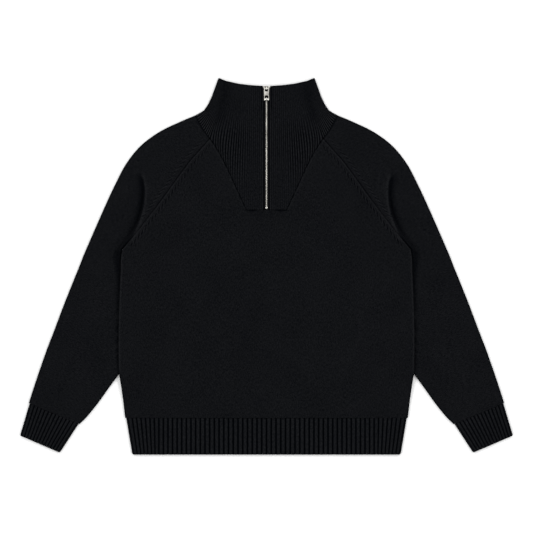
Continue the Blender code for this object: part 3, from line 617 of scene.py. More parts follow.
def metal_look():
    """Silver-coloured zip metal, softly tumbled and dull in patches.

    A mesh says where black is painted as shade in its recesses, and where a highlight is painted on its
    raised parts.
    """
    look = Look("silver_metal", Metallic=1.0)
    worn, cloudy = look.noise(900.0, 3.0), look.noise(55.0, 3.0)
    recess_shade, painted_highlight = look.number("recess_shade"), look.number("painted_highlight")
    # a painted highlight on the raised parts
    bright = look.blend(0.1 + worn * 0.25 + look.step(cloudy, 0.3, 0.7) * 0.4 + painted_highlight, *METAL_SHADES)
    # black painted as shade where a mesh marks it
    look.surface("Base Color", look.blend(recess_shade, bright, RECESS_SHADE_BLACK))
    look.surface("Roughness", 0.22 + 0.22 * cloudy + recess_shade * 0.4)
    look.relief(worn, 0.03)
    return look.material


# ---------------------------------------------------------------- front and back panels

BODY_NEAR = (0, .35, .8, 1.4, 2.2, 3.25, 4.6, 6.4, 9, 12.5, 17, 23, 31, 40)
NECK_NEAR = (0, .4, .9, 1.5, 2.3, 3.5, 5.5, 9)
LIFT_START = 15.0           # past the tucked sleeve, where the body starts to come down
LIFT_RUN = 48.0             # over this distance


def seam_line(front):
    """The raglan seam from the neck to the armpit."""
    first = 0 if front else 4
    return smooth(RAGLAN, SEAM_ROWS)[:, first:first + 2]


def inner_edge(front, rows):
    """A panel's neck and its centre line, level with rows of the raglan seam."""
    first = 2 if front else 6
    return straight(RAGLAN, rows)[:, first:first + 2]


def turned(t):
    """How far a raglan seam has turned into the folded edge that starts at the armpit."""
    return ramp(t, 6, 7)


def dashes(run):
    """Uneven dashes of painted shade and highlight where linking stitches pull a seam in."""
    return np.clip(1.3 * np.sin(run / 2.9) + 0.9 * np.sin(run / 1.7 + 1) + 0.8 * np.sin(run / 7.3), 0, 1)


def faint(run):
    """How strong the raglan seam's line of painted shade is, fainter towards the armpit."""
    return 1 - 0.6 * ramp(run, 140, 200)


def beside_seam(run, off, end, sleeve):
    """What the shaping marks have to know: how far along and off the raglan seam, where they are worked."""
    marked = (run > MARKS_START) & (run < end)
    return np.stack([run, np.where(marked, off, FAR), 0 * off + sleeve], -1)


def crease_shade(points):
    """How much painted shade the armpit crease and the shadow below it get, and below 0 the painted highlight
    on the ridge beside it.
    """
    x, y = points[..., 0], points[..., 1]
    edge, side = np.array(CREASE_EDGE), np.array(SIDE)[::-1]
    off, run = near(points, edge)
    on_sleeve = x > np.interp(y, edge[:, 1], edge[:, 0])
    deep = 0.42 + 0.34 * ramp(y, 45, 120)                   # darker away from the armpit
    # painted shade along the crease, wide and soft on the sleeve's side and narrow on the body's
    dark = deep * np.where(on_sleeve, swell(np.maximum(off - 3.4, 0), 8.0), swell(off, 0.9))
    dark = dark * (0.35 + 0.65 * ramp(run, 164, 154))       # and faint where it ends
    past = x - np.interp(y, side[:, 0], side[:, 1])         # from the body's edge outward
    under_edge = ramp(y, -225, -185) * ramp(y, 36, 30) * (past > -1)
    # painted shadow of the body's edge on the sleeve
    shadow = 0.60 * swell(np.maximum(past / read(SHADOW_REACH, y) - 0.45, 0), 0.32) * under_edge
    # painted highlight on the ridge beside the crease
    ridge = 0.8 * swell(near(points, np.array(CREASE_RIDGE))[0], 2.2)
    return np.maximum(dark, shadow) - ridge


def neck_foot_shade(points):
    """Painted shade on the cloth below the insert, as though a little sunk, and in the notches beside the end
    of the zip.
    """
    x, y = points[..., 0], points[..., 1]
    notches = swell(np.hypot(x - 5.5, y - 112.6), 1.4) + swell(np.hypot(x - 9, y - 106), 2.0)
    return 0.16 * swell(y - 101, 9) * swell(x, 42) + 0.5 * notches


def panel_relief(flat, d, folded, off, to_neck, front):
    """How far a panel stands above its own level: dips at its seams, ridges beside them, and creases."""
    to_hem = flat[..., 1] - HEM_SEAM
    sewn = (SEAM_DEPTH * swell(off, SEAM_WIDTH) * (1 - folded) + 0.8 * swell(to_neck, SEAM_WIDTH)
            + 0.7 * swell(to_hem, 1.2))
    if not front:
        return -0.6 * sewn
    ridge = 0.55 * swell(off - 3.0, 1.5) * (1 - folded) + 0.3 * swell(to_neck - 3.0, 1.4)
    return ridge - sewn + (creases(flat, FRONT_FOLDS) + rumple(flat)) * ramp(d, 4, 34)


def panel_painted_shade(flat, d, folded, off, run, to_neck, neck_run, front):
    """The painted shade in a panel's hollows, and below 0 the painted highlight on its ridges."""
    x, y = flat[..., 0], flat[..., 1]
    drawn, sunk = dashes(neck_run), 1.0
    if front:                                   # below the insert the dashes are only at its corners
        below, corner = x < INSERT_HALF, ramp(x, 15, 23)
        drawn, sunk = np.where(below, corner, drawn), np.where(below, corner, 1.0)
    # painted shade on the raglan seam's line with a painted highlight beside it, painted shade where the neck
    # seam is linked and painted highlight on its loops
    raglan = 0.75 * swell(off, SEAM_WIDTH) * faint(run) - 0.7 * swell(off - 2.6, 1.3)
    linked = 0.7 * sunk * swell(to_neck, 0.8) + 0.9 * drawn * swell(to_neck - 0.6, 1.2)
    loops = (0.2 + 0.6 * dashes(neck_run + 4)) * swell(to_neck - 2.8, 1.2)
    painted_shade = raglan * (1 - folded) + linked - loops
    if not front:
        # painted shade along the folded edge
        return painted_shade + 0.85 * folded * swell(d, 1.0)
    # painted shade along the folded edge, but over the sleeve a painted highlight just inside it; with the
    # crease's painted highlight and the painted shade below the insert
    over_sleeve = ramp(y, -215, -207)
    edge = 0.9 * swell(d, 1.8) * (1 - over_sleeve) - 0.95 * swell(d - 1.8, 1.5) * over_sleeve
    return painted_shade + np.minimum(crease_shade(flat), 0) + neck_foot_shade(flat) + folded * edge


def panel_half(front):
    """Outer and inner points of the right half of a panel, hem to neck and edge to middle, and its knit."""
    low = np.linspace(len(SIDE) - 1, 0.2, 62)
    side = smooth(SIDE, low)
    t = SEAM_ROWS[:0:-1]
    edge = np.concatenate([side[:, [1, 0]], beside(seam_line(front), -SEAM_GAP / 2)[:0:-1]])
    middle = np.concatenate([side[:, :1] * (0, 1), inner_edge(front, t)])
    lifts = np.concatenate([straight(SIDE, low)[:, 2:],
                            np.stack([read(FRONT_LIFT, t), read(BACK_LIFT, t), 0 * t], 1)])
    lift_front, lift_back, tuck = (column[:, None] for column in lifts.T)
    folded = np.append(np.ones(len(low)), turned(t))[:, None]

    length = np.linalg.norm(middle - edge, axis=1)
    toward = (middle - edge) / length[:, None]
    d = spread(length, BODY_NEAR, NECK_NEAR, 20)
    flat = edge[:, None] + toward[:, None] * d[..., None]
    within = d + folded * np.maximum(0, WALL * (1 - d / FOLD))
    inner_flat = edge[:, None] + toward[:, None] * within[..., None]
    flat[:, -1] = inner_flat[:, -1] = middle
    off, run = near(flat, seam_line(front))
    to_neck, neck_run = near(flat, inner_edge(front, np.linspace(0, NECK_END[front], 31)))

    way = 1 if front else -1
    across = 1 - ramp(d, tuck + LIFT_START, tuck + LIFT_START + LIFT_RUN)
    rim = (FLAT + lift_front + lift_back) / 2 + way * SEAM_GAP / 2
    level = FLAT + lift_front * across + BODY_PUFF * ramp(d, 20, 140) if front else lift_back * across
    top, under = level + way * panel_relief(flat, d, folded, off, to_neck, front), level - way * WALL
    dip = folded * (1 - bend(d))
    # painted shade and highlight, kept in the knit
    painted_shade = panel_painted_shade(flat, d, folded, off, run, to_neck, neck_run, front)
    knit = lift(flat, np.clip(painted_shade, -1, 1))
    seam = beside_seam(run, off, 270, 0)
    return lift(flat, top - dip * (top - rim)), lift(inner_flat, under - dip * (under - rim)), knit, seam


def panel(name, node, front, look):
    """The front or the back panel, both halves in one piece."""
    cloth = Cloth()
    half = panel_half(front)
    for side in (1, -1):
        cloth.wall(*half, side)
    return cloth.build(name, node, look)


# ---------------------------------------------------------------- sleeves

SEAM_NEAR = np.array((0, .35, .8, 1.4, 2.2, 3.25, 4.6, 6.4, 9, 13))
TO_CREASE = np.array((9, 6, 4, 2.6, 1.6, .8, .3))
PAST_CREASE = np.array((0, .4, .9, 1.5, 2.2, 3, 4, 5.4, 7.4, 10, 13.5, 18))
EDGE = np.array((1, .8, .6, .42, .28, .16, .07, 0)) * FOLD
ROOM_BEFORE = 26            # the rows draw together where there is less room than this before the crease
ROOM_PAST = 40              # or past it
PUFF_START = 5.0            # past the crease


def sleeve_sections():
    """One section a row: front seam, back seam, outline, crease, lifts, bow, and how far it has closed."""
    t = SEAM_ROWS[:-1]
    front, back = (beside(seam_line(layer), SEAM_GAP / 2)[:-1] for layer in (True, False))
    raglan = [front, back, smooth(RAGLAN, t)[:, 8:10], read(CREASE, t), read(FRONT_LIFT, t),
              read(BACK_LIFT, t), NECK_BOW * np.maximum(0, 1 - t), turned(t)]
    tube = smooth(TUBE, TUBE_ROWS)
    lifts = straight(TUBE, TUBE_ROWS)[:, 4:]
    crest = CREASE[-1][1] + 6 * np.minimum(TUBE_ROWS / 3, 1)
    none = np.zeros(len(TUBE_ROWS))
    below = [tube[:, :2], tube[:, :2], tube[:, 2:4], crest, lifts[:, 0], lifts[:, 1], none, none + 1]
    return [np.concatenate(pair) for pair in zip(raglan, below)]


def sleeve_half(start, outline, d, bow):
    """Places at distances d from the start of each section towards its outline."""
    length = np.linalg.norm(outline - start, axis=1)[:, None]
    way = (outline - start) / length
    share = d / length
    aside = 4 * share * (1 - share) * bow[:, None]
    across = np.stack([way[:, 1], -way[:, 0]], 1)
    return start[:, None] + way[:, None] * d[..., None] + across[:, None] * aside[..., None]


def closed(d, length, level, half_way, folded, up):
    """Heights of a layer's two faces, rounded into its folded edges, and how far along the inner one lies."""
    rest = length - d
    dip = folded * (1 - bend(d))
    heights = []
    for height in (level, level - up * WALL):
        height = height - dip * (height - half_way)
        heights.append(FOLD + (height - FOLD) * bend(rest))
    within = d + folded * np.maximum(0, WALL * (1 - d / FOLD))
    return *heights, np.where(rest < FOLD, length - WALL - rest * (1 - WALL / FOLD), within)


def sleeve_knit(flat, painted_shade):
    """The same points by the sleeve's own columns of stitches, and the painted shade of its hollows, below 0
    a painted highlight.
    """
    return np.stack([flat @ ACROSS_SLEEVE, flat @ SLEEVE_WAY, np.clip(painted_shade, -1, 1)], -1)


def armpit_relief(beyond, lift_front, folded):
    """The body's lifted cloth and its crown before the crease, and the valley in the sleeve past it."""
    lifted = lift_front * (1 - ramp(beyond, -0.6, 3.0))
    crown = 0.16 * lift_front * swell(beyond + 3.0, 2.4)
    valley = 0.34 * lift_front * swell(beyond - VALLEY, np.where(beyond < VALLEY, 1.6, 7.5))
    return lifted + crown - valley * (1 - folded * 0.6)


def sleeve_upper(front, outline, crest, lift_front, half_way, bow, folded):
    """Outer and inner points of the upper layer from the front seam to the outline, its knit and its seam."""
    length = np.linalg.norm(outline - front, axis=1)[:, None]
    close = np.minimum(1, crest / ROOM_BEFORE)
    room = np.minimum(1, (length - FOLD - crest) / ROOM_PAST)
    last = crest + PAST_CREASE[-1] * room
    share = np.linspace(0, 1, 19)[1:-1]
    d = np.concatenate([SEAM_NEAR * close, crest - TO_CREASE * close, crest + PAST_CREASE * room,
                        last + (length - FOLD - last) * share, length - EDGE], 1)
    flat = sleeve_half(front, outline, d, bow)
    off, run = near(flat, seam_line(True))
    to_cuff, to_neck = near(flat, flat[-1])[0], near(flat, flat[0])[0]

    beyond = d - crest
    past = (beyond - PUFF_START) / (length - crest - PUFF_START)
    puff = SLEEVE_PUFF * np.sin(np.pi * ramp(past, 0.15, 1)) ** 2 * (past > 0)
    seam_fold = 0.3 * swell(off - 2.6, 1.3) - SEAM_DEPTH * swell(off, SEAM_WIDTH)
    ends = 0.7 * swell(to_cuff, 1.2) + 0.7 * swell(to_neck, 1.0)
    loose = ramp(d, 6, 31) * ramp(length - d, 0, 25) * ramp(np.abs(beyond), 0, 20)
    level = (FLAT + armpit_relief(beyond, lift_front, folded) + puff + seam_fold * (1 - folded) - ends
             + (creases(flat, SLEEVE_FOLDS) + rumple(flat)) * loose)
    top, under, within = closed(d, length, level, half_way, folded, 1)
    # painted shade on the seam's line and at the neck, along the crease with the painted shadow of the body's
    # edge and the crease's painted highlight, and at the outline and the folded edge
    painted_shade = (0.8 * swell(off, SEAM_WIDTH) * (1 - folded) * faint(run) + 0.8 * swell(to_neck, 0.8)
              + crease_shade(flat) + 0.85 * (swell(length - d, 2.0) + folded * swell(d, 2.0)))
    return (lift(flat, top), lift(sleeve_half(front, outline, within, bow), under),
            sleeve_knit(flat, painted_shade), beside_seam(run, off, 215, 1))


def sleeve_lower(back, outline, lift_back, half_way, folded):
    """The same for the lower layer, from the outline to the back seam."""
    length = np.linalg.norm(outline - back, axis=1)[:, None]
    no_bow = np.zeros(len(length))
    seam_side = SEAM_NEAR[::-1] * np.minimum(1, length / 60)
    share = np.linspace(0, 1, 16)[1:-1]
    between = length - FOLD + (seam_side[:, :1] - length + FOLD) * share
    d = np.concatenate([length - EDGE[::-1][1:], between, seam_side], 1)
    flat = sleeve_half(back, outline, d, no_bow)
    off, run = near(flat, seam_line(False))
    level = lift_back * (1 - ramp(d, FOLD, FOLD + 25)) + 0.5 * swell(off, SEAM_WIDTH) * (1 - folded)
    under, top, within = closed(d, length, level, half_way, folded, -1)
    # painted shade on the seam's line
    painted_shade = 0.95 * swell(off, 1.1) * (1 - folded)
    return (lift(flat, under), lift(sleeve_half(back, outline, within, no_bow), top),
            sleeve_knit(flat, painted_shade), beside_seam(run, off, 290, 1))


def sleeve_wall():
    """Both layers of a sleeve, one after the other round each section."""
    front, back, outline, *rest = sleeve_sections()
    crest, lift_front, lift_back, bow, folded = (values[:, None] for values in rest)
    half_way = (FLAT + lift_front + lift_back) / 2
    upper = sleeve_upper(front, outline, crest, lift_front, half_way, bow[:, 0], folded)
    lower = sleeve_lower(back, outline, lift_back, half_way, folded)
    return [np.concatenate(pair, 1) for pair in zip(upper, lower)]


def sleeve(name, node, side, look):
    """One sleeve, closed all round."""
    cloth = Cloth()
    cloth.wall(*sleeve_wall(), side)
    return cloth.build(name, node, look)


# ---------------------------------------------------------------- ribbed tubes: hem and cuffs

RIB_STEPS = np.array((0, .07, .13, .18, .23, .3, .4, .6, .7, .77, .82, .87, .93))
TUBE_SIDE = np.radians(np.linspace(80, -80, 9))     # angles round the folded side, from the top down
TUBE_NEAR = (0, .5, 1.2, 2.2, 4, 8, 14)             # rows by their distance from the top edge
TUBE_FOOT = np.array((4, 3, 2, 1.2, .6, .25, 0))    # and from the bottom edge


def rib_height(phase):
    """0 in the middle of a groove and 1 on the ridge, by the place within one rib's pitch."""
    off = np.abs(phase - 0.5)
    side = RIDGE / 2 + 0.13
    return ramp(off, side, side - RIB_SIDE) * (1 - 0.12 * (off / 0.3) ** 2)


def groove_shade(phase, ridge):
    """How much painted shade a groove gets, by the same place: 0 on the ridge, whose half width is given."""
    return ramp(np.abs(phase - 0.5), ridge, ridge + RIB_SIDE)


def drawn_in(share, wide, half, upright):
    """Places across a tube that narrows from wide to half.  The middle share of its ribs stays upright."""
    leaning = np.maximum(0, np.abs(share) - upright) / (1 - upright)
    return wide * share - np.sign(share) * (wide - half) * leaning


def rib_numbers(ribs):
    """Places across ribs, counted in ribs."""
    return np.append((np.arange(ribs)[:, None] + RIB_STEPS).ravel(), ribs)


def tube_ring(ridges, reach, upper, lower, out, up):
    """Places across and heights of a ring: over the top, round one side, back below and round the other."""
    out, up = out * np.cos(TUBE_SIDE), up * np.sin(TUBE_SIDE)
    across = np.concatenate([ridges, reach + out, ridges[::-1], -reach - out, ridges[:1]])
    return across, np.concatenate([upper, FOLD + up, lower[::-1], FOLD - up, upper[:1]])


def ribbed_tube(name, node, look, top, foot, ribs, wide, narrow, corner, upright, side=1):
    """A flattened tube from its top edge to its bottom edge, ribbed all round."""
    n = rib_numbers(ribs)
    half = ribs / 2
    place = wide * (n - half) - (wide - narrow) * (n - half) ** 3 / (3 * half ** 2)
    place = place / place[-1]
    up, dark = rib_height(n % 1), groove_shade(n % 1, TUBE_RIDGE)
    # painted shade in the grooves and on the folded sides, darkest where the sides face outward
    sides, past = SIDE_DARK * np.cos(TUBE_SIDE), np.linspace(0, .5, len(TUBE_SIDE))
    shade = np.concatenate([dark, sides, dark[::-1], sides, dark[:1]])
    count = np.concatenate([n, ribs + past, n[::-1], -past, n[:1]])
    top, foot = np.array(top, float), np.array(foot, float)
    widest = np.linalg.norm(top[0] - top[1]) / 2 - FOLD
    drop = np.linalg.norm(foot.mean(0) - top.mean(0))
    outer, inner, knit = [], [], []
    for s in [*TUBE_NEAR, *np.linspace(20, drop - 8, 7), *(drop - TUBE_FOOT)]:
        start, end = top + (foot - top) * s / drop
        length = np.linalg.norm(end - start)
        way = (end - start) / length
        rounding = corner * 0.7 * (1 - math.sqrt(1 - max(0.0, (s - drop + corner) / corner) ** 2))
        reach = length / 2 - rounding - FOLD
        # 1 between the tube's two edges and less at them
        edge = ramp(s, 0, 2.4) * math.sqrt(1 - max(0.0, (s - drop + 1.4) / 1.4) ** 2 * 0.9)
        high = RIB_EDGE + (RIB_TOP - RIB_EDGE) * (0.35 + 0.65 * edge)
        groove = np.minimum(high, RIB_TOP - RIB_DEPTH)
        upper = groove + (high - groove) * up
        lower = UNDER_DEPTH * (1 - up) * edge + 0.8 * (1 - edge)
        ridges = drawn_in(place, widest, reach, upright)
        inside = 0 * up + RIB_INSIDE[0], 0 * up + RIB_INSIDE[1]
        for grid, ring in ((outer, tube_ring(ridges, reach, upper, lower, FOLD, FOLD)),
                           (inner, tube_ring(ridges, reach, *inside, 1.3, 0.8))):
            grid.append(lift((start + end) / 2 + way * ring[0][:, None], ring[1]))
        # and painted shade along the bottom edge
        painted_shade = np.maximum(shade, FOOT_DARK * ramp(s, drop - 2.2, drop - 0.4))
        knit.append(np.stack([count * WALE * TUBE_WALES, 0 * count + s, painted_shade], -1))
    cloth = Cloth()
    cloth.wall(np.array(outer), np.array(inner), np.array(knit), side=side)
    return cloth.build(name, node, look)


# ---------------------------------------------------------------- collar

def neck_line(front):
    """Inner edge of a panel from the centre line to its raglan seam."""
    return inner_edge(front, np.arange(NECK_END[front], -1, -1))


def collar_top(n, front):
    """Upper ends of ribs, on the top edge."""
    share = read(TOP_SHARE, n)
    start = COLLAR_TOP[0] if front else (0.0, COLLAR_TOP[0][1])
    point = along([start, *COLLAR_TOP[1:]], share)
    if not front:
        point[:, 1] -= BACK_TOP_DROP * (1 - share ** 4)
    return point


def collar_foot(n, front):
    """Lower ends of ribs, on the neck seam."""
    neck = neck_line(front)
    line = neck[1:] if front else neck
    first = RIBS_ON_INSERT if front else 0.0
    share = np.clip((n - first) / (RIBS_TO_RAGLAN - first), 0, 1)
    way = along(line, np.minimum(share + 0.01, 1)) - along(line, np.maximum(share - 0.01, 0))
    way /= np.linalg.norm(way, axis=1, keepdims=True)
    point = along(line, share) + NECK_GAP * np.stack([-way[:, 1], way[:, 0]], 1)
    if front:
        insert = along([(ZIP_EDGE, neck[0, 1]), neck[1]], np.minimum(n / RIBS_ON_INSERT, 1)) + (0.0, NECK_GAP)
        point = np.where((n <= RIBS_ON_INSERT)[:, None], insert, point)
    else:
        point[0] = neck[0] + (0.0, NECK_GAP)
    corner = np.array(SHOULDER)
    chord = (corner - neck[-1]) / np.linalg.norm(corner - neck[-1])
    share = np.clip((n - RIBS_TO_RAGLAN) / (COLLAR_RIBS - RIBS_TO_RAGLAN), 0, 1)
    bow = NECK_BOW if front else 0.0
    side = neck[-1] + (corner - neck[-1]) * share[:, None] + NECK_GAP * np.array((-chord[1], chord[0]))
    side = side + (4 * share * (1 - share) * bow)[:, None] * np.array((chord[1], -chord[0]))
    return np.where((n > RIBS_TO_RAGLAN)[:, None], side, point)


def collar_grid(n, rows, front):
    """Places along ribs n, from their upper ends (0) to their lower ends (1), and their lengths.

    The last ribs draw close to the folded side, and the very last is that side.
    """
    top, foot = collar_top(n, front), collar_foot(n, front)
    length = np.linalg.norm(top - foot, axis=1)
    slant, angle = (np.radians(read(table, n)) for table in (TOP_SLANT, SEAM_ANGLE))
    reach = read(SEAM_REACH, n)
    if not front:
        angle, reach = np.minimum(angle, np.pi / 2), 0 * reach + BACK_REACH
    high = top + TOP_REACH * length[:, None] * np.stack([np.sin(slant), -np.cos(slant)], 1)
    low = foot + reach[:, None] * np.stack([-np.cos(angle), np.sin(angle)], 1)
    s = rows[:, None, None]
    r = 1 - s
    grid = r ** 3 * top + 3 * s * r ** 2 * high + 3 * s ** 2 * r * low + s ** 3 * foot
    close = ramp(n, COLLAR_RIBS - SIDE_RIBS, COLLAR_RIBS)[:, None]
    return grid + close * (along(COLLAR_SIDE, rows)[:, None] - grid[:, -1:]), length


def collar_inward(run, front):
    """The way inward from the collar's folded side, level with points that are this far along it."""
    share = run / SIDE_LENGTH
    way = np.subtract(*(along(COLLAR_SIDE, np.clip(share + step, 0, 1)) for step in (0.01, -0.01)))
    way /= np.linalg.norm(way, axis=-1, keepdims=True)
    inward = np.stack([way[..., 1], -way[..., 0]], -1)
    corner = neck_line(front)[-1] - np.array(SHOULDER)
    inward[-1] = corner / np.linalg.norm(corner)
    return inward


def collar_painted_shade(n, ribs, shoulder, from_top, from_foot, distance, front):
    """The painted shade in the collar's grooves, at its edges and seams, and below 0 the painted highlight on
    its ridges.
    """
    groove = (1.35 + 0.65 * shoulder) * groove_shade(n % 1, 0.17 + 0.04 * shoulder)
    foot_seam = 0.2 + 0.8 * ramp(n, 2, 4) if front else 1.0         # faint below the end of the zip
    # painted shade in the grooves and painted highlight on the ridges, then painted shade at the foot seam,
    # the top edge and the folded side
    return (ribs * (groove - 0.52 - 0.27 * shoulder) + 0.85 * foot_seam * swell(from_foot, 0.7)
            + 0.9 * swell(from_top, 1.8) + 0.7 * swell(distance, 1.7))


def collar_front_painted_shade(n, flat, from_zip, from_foot):
    """What the fronts add: painted shade and highlight at the zip's edge, the slider's painted shadow, a soft
    band of painted shade and painted highlight on the linked stitches.
    """
    band = 0.30 * swell(near(flat, np.array(COLLAR_BAND))[0], 12.0)
    linked = 0.6 * dashes(n * 9) * swell(from_foot - 2.0, 0.8) * (n < RIBS_ON_INSERT)
    beside_slider = 0.6 * swell(from_zip - 4.2, 1.8) * ramp(flat[..., 1], 308, 316)
    edge = 0.85 * swell(from_zip, 0.9) - 0.5 * swell(from_zip - 2.0, 1.1)
    return edge + band + beside_slider - linked


COLLAR_ROWS = np.array([0, .003, .008, .016, .03, .045, *np.linspace(.065, .955, 43), .968, .978, .986, .992,
                        .997, 1])


def collar_wall(n, front):
    """Outer and inner points of half a collar, from its top edge to its seam along ribs n, and its knit."""
    flat, length = collar_grid(n, COLLAR_ROWS, front)
    distance, run = near(flat, np.array(COLLAR_SIDE))
    s = COLLAR_ROWS[:, None]
    from_top, from_foot, from_zip = s * length, (1 - s) * length, n[None] * COLLAR_PITCH
    shoulder = ramp(n, *SHOULDER_RIBS)
    near_zip = 0.4 * swell(n, 11)               # the grooves beside the zip keep at least this depth
    ribs = np.maximum(read(DEEP, flat[..., 1]) * (0.55 + 0.45 * ramp(n, 5, 13)), near_zip)
    ribs = ribs * (1 - shoulder) + read(DEEP_SHOULDER, from_foot) * shoulder
    down = ribs * (1 - rib_height(n % 1))
    # painted shade and highlight, kept in the knit
    painted_shade = collar_painted_shade(n, ribs, shoulder, from_top, from_foot, distance, front)
    if front:
        level = COLLAR_HIGH - 1.5 * down + creases(flat, COLLAR_FOLDS)
        level = level - 1.1 * swell(from_top, 0.8) - 0.7 * swell(from_foot, 0.9)
        level = level - 1.2 * swell(from_zip, 0.8) + 0.5 * swell(from_zip - 2.0, 1.1)
        under = 0 * level + COLLAR_INSIDE
        painted_shade = painted_shade + collar_front_painted_shade(n, flat, from_zip, from_foot)
    else:
        level = 0.9 * down + 0.6 * swell(from_top, 0.8)
        under = 0 * level + COLLAR_WALL
    half_way = FOLD + (SEAM_GAP / 2 if front else -SEAM_GAP / 2)
    level, under = (half_way + (height - half_way) * bend(distance) for height in (level, under))
    knit = np.stack([0 * s + n * WALE * COLLAR_WALES, from_top, np.clip(painted_shade, -1, 1)], -1)
    within = collar_grid(n, np.minimum(COLLAR_ROWS, 0.995), front)[0]
    within += collar_inward(run, front) * np.maximum(0, COLLAR_WALL * (1 - distance / FOLD))[..., None]
    if not front:
        within[:, 0, 0] = 0
    return lift(flat, level), lift(within, under), knit


def collar_front(name, node, side, look):
    """One front of the collar, with its half of the insert."""
    cloth = Cloth()
    cloth.wall(*collar_wall(rib_numbers(COLLAR_RIBS), True), side=side)
    return cloth.build(name, node, look)


def collar_back(name, node, look):
    """The back of the collar, both halves in one piece."""
    cloth = Cloth()
    half = collar_wall(rib_numbers(COLLAR_RIBS), False)
    for side in (1, -1):
        cloth.wall(*half, side=side)
    return cloth.build(name, node, look)


# ---------------------------------------------------------------- zip

def cut_plate(outlines, low, high, edge):
    """A plate with rounded edges, cut from outlines: the first is its rim and the others are holes."""
    curve = bpy.data.curves.new("cut", "CURVE")
    curve.dimensions = "2D"
    curve.fill_mode = "BOTH"
    curve.extrude = ((high - low) / 2 - edge) * MM
    curve.bevel_depth = edge * MM
    curve.bevel_resolution = 2
    curve.offset = -edge * MM
    for outline in outlines:
        line = curve.splines.new("POLY")
        line.points.add(len(outline) - 1)
        line.points.foreach_set("co", np.array([(x * MM, y * MM, 0, 1) for x, y in outline]).ravel())
        line.use_cyclic_u = True
    obj = bpy.data.objects.new("cut", curve)
    bpy.context.collection.objects.link(obj)
    mesh = bpy.data.meshes.new_from_object(obj.evaluated_get(bpy.context.evaluated_depsgraph_get()))
    bpy.data.objects.remove(obj)
    mesh.vertices.foreach_set("co", (vertices(mesh) + (0, 0, (low + high) / 2 * MM)).ravel())
    return mesh


def vertices(mesh):
    """The points of a mesh, in metres."""
    points = np.empty(len(mesh.vertices) * 3)
    mesh.vertices.foreach_get("co", points)
    return points.reshape(-1, 3)


def rounded(x0, x1, y0, y1, radius, steps=5):
    """A rectangle with round corners."""
    points = []
    for x, y, start in ((x1, y1, 0), (x0, y1, 90), (x0, y0, 180), (x1, y0, 270)):
        middle = (x - math.copysign(radius, x - (x0 + x1) / 2), y - math.copysign(radius, y - (y0 + y1) / 2))
        for angle in np.radians(np.linspace(start, start + 90, steps)):
            points.append((middle[0] + radius * math.cos(angle), middle[1] + radius * math.sin(angle)))
    return points


def both_sides(middle, half, y0, y1, radius):
    """Two equal rectangles with round corners, one on each side of the centre line."""
    return [rounded(side * middle - half, side * middle + half, y0, y1, radius) for side in (1, -1)]


def mirrored(half):
    """A whole outline from its right half, which runs from the top down."""
    return half + [(-x, y) for x, y in half[::-1]]


def joined(meshes):
    """Several meshes as one."""
    bm = bmesh.new()
    for mesh in meshes:
        bm.from_mesh(mesh)
    mesh = bpy.data.meshes.new("joined")
    bm.to_mesh(mesh)
    bm.free()
    return mesh


def mark(mesh, name, low, high):
    """Gives what lies between two heights the value 1 under a name that the metal reads."""
    layer = mesh.attributes.new(name, "FLOAT", "POINT")
    height = vertices(mesh)[:, 2] / MM
    layer.data.foreach_set("value", ((height > low) & (height < high)).astype(np.float32))


def repeated(mesh, moves):
    """Copies of a mesh, each moved by x, y, z in millimetres and mirrored in X where its side is -1."""
    copies = []
    for side, *move in moves:
        copy = mesh.copy()
        copy.vertices.foreach_set("co", (vertices(mesh) * (side, 1, 1) + np.array(move) * MM).ravel())
        if side < 0:
            copy.flip_normals()
        copies.append(copy)
    return joined(copies)


def zip_tape(name, node, side, look):
    """A flat strip with a thicker cord along the edge that holds the teeth."""
    parts = []
    strip, cord = (TAPE_REACH, 1.6, 0.6, 0.0, 0.2), (CORD_REACH, 1.0, 0.5, 0.5, 0.5)
    for reach, foot, radius, thick, edge in (strip, cord):
        outline = rounded(TAPE_START, reach, ZIP_FOOT - foot, ZIP_TOP - 1.5, radius)
        parts.append(cut_plate([[(x * side, y) for x, y in outline]], TAPE_BASE, TAPE_TOP + thick, edge))
    return dress(name, node, joined(parts), look)


def zip_chain(name, node, look):
    """Two rows of teeth that mesh on the centre line."""
    shank = cut_plate([rounded(0.1, CHAIN_HALF, -0.52, 0.52, 0.3)], CHAIN_BASE, CHAIN_TOP - 0.2, 0.25)
    head = cut_plate([rounded(-0.95, 0.75, -0.62, 0.62, 0.5)], CHAIN_BASE + 0.2, CHAIN_TOP, 0.4)
    ys = np.arange(STOP_TOP + 1.0, SLIDER_FOOT - 1.0, TOOTH_PITCH)
    moves = [(1, 0, y, 0) for y in ys] + [(-1, 0, y + TOOTH_PITCH / 2, 0) for y in ys]
    return dress(name, node, repeated(joined([shank, head]), moves), look, 40)


def bottom_stop(name, node, look):
    """The small block on which the teeth end."""
    half = [(2.3, STOP_TOP), (2.3, ZIP_FOOT + 1.5), (1.7, ZIP_FOOT + 0.4), (0.7, ZIP_FOOT)]
    block = cut_plate([mirrored(half)], CHAIN_BASE - 0.2, CHAIN_TOP + 0.3, 0.5)
    return dress(name, node, block, look)


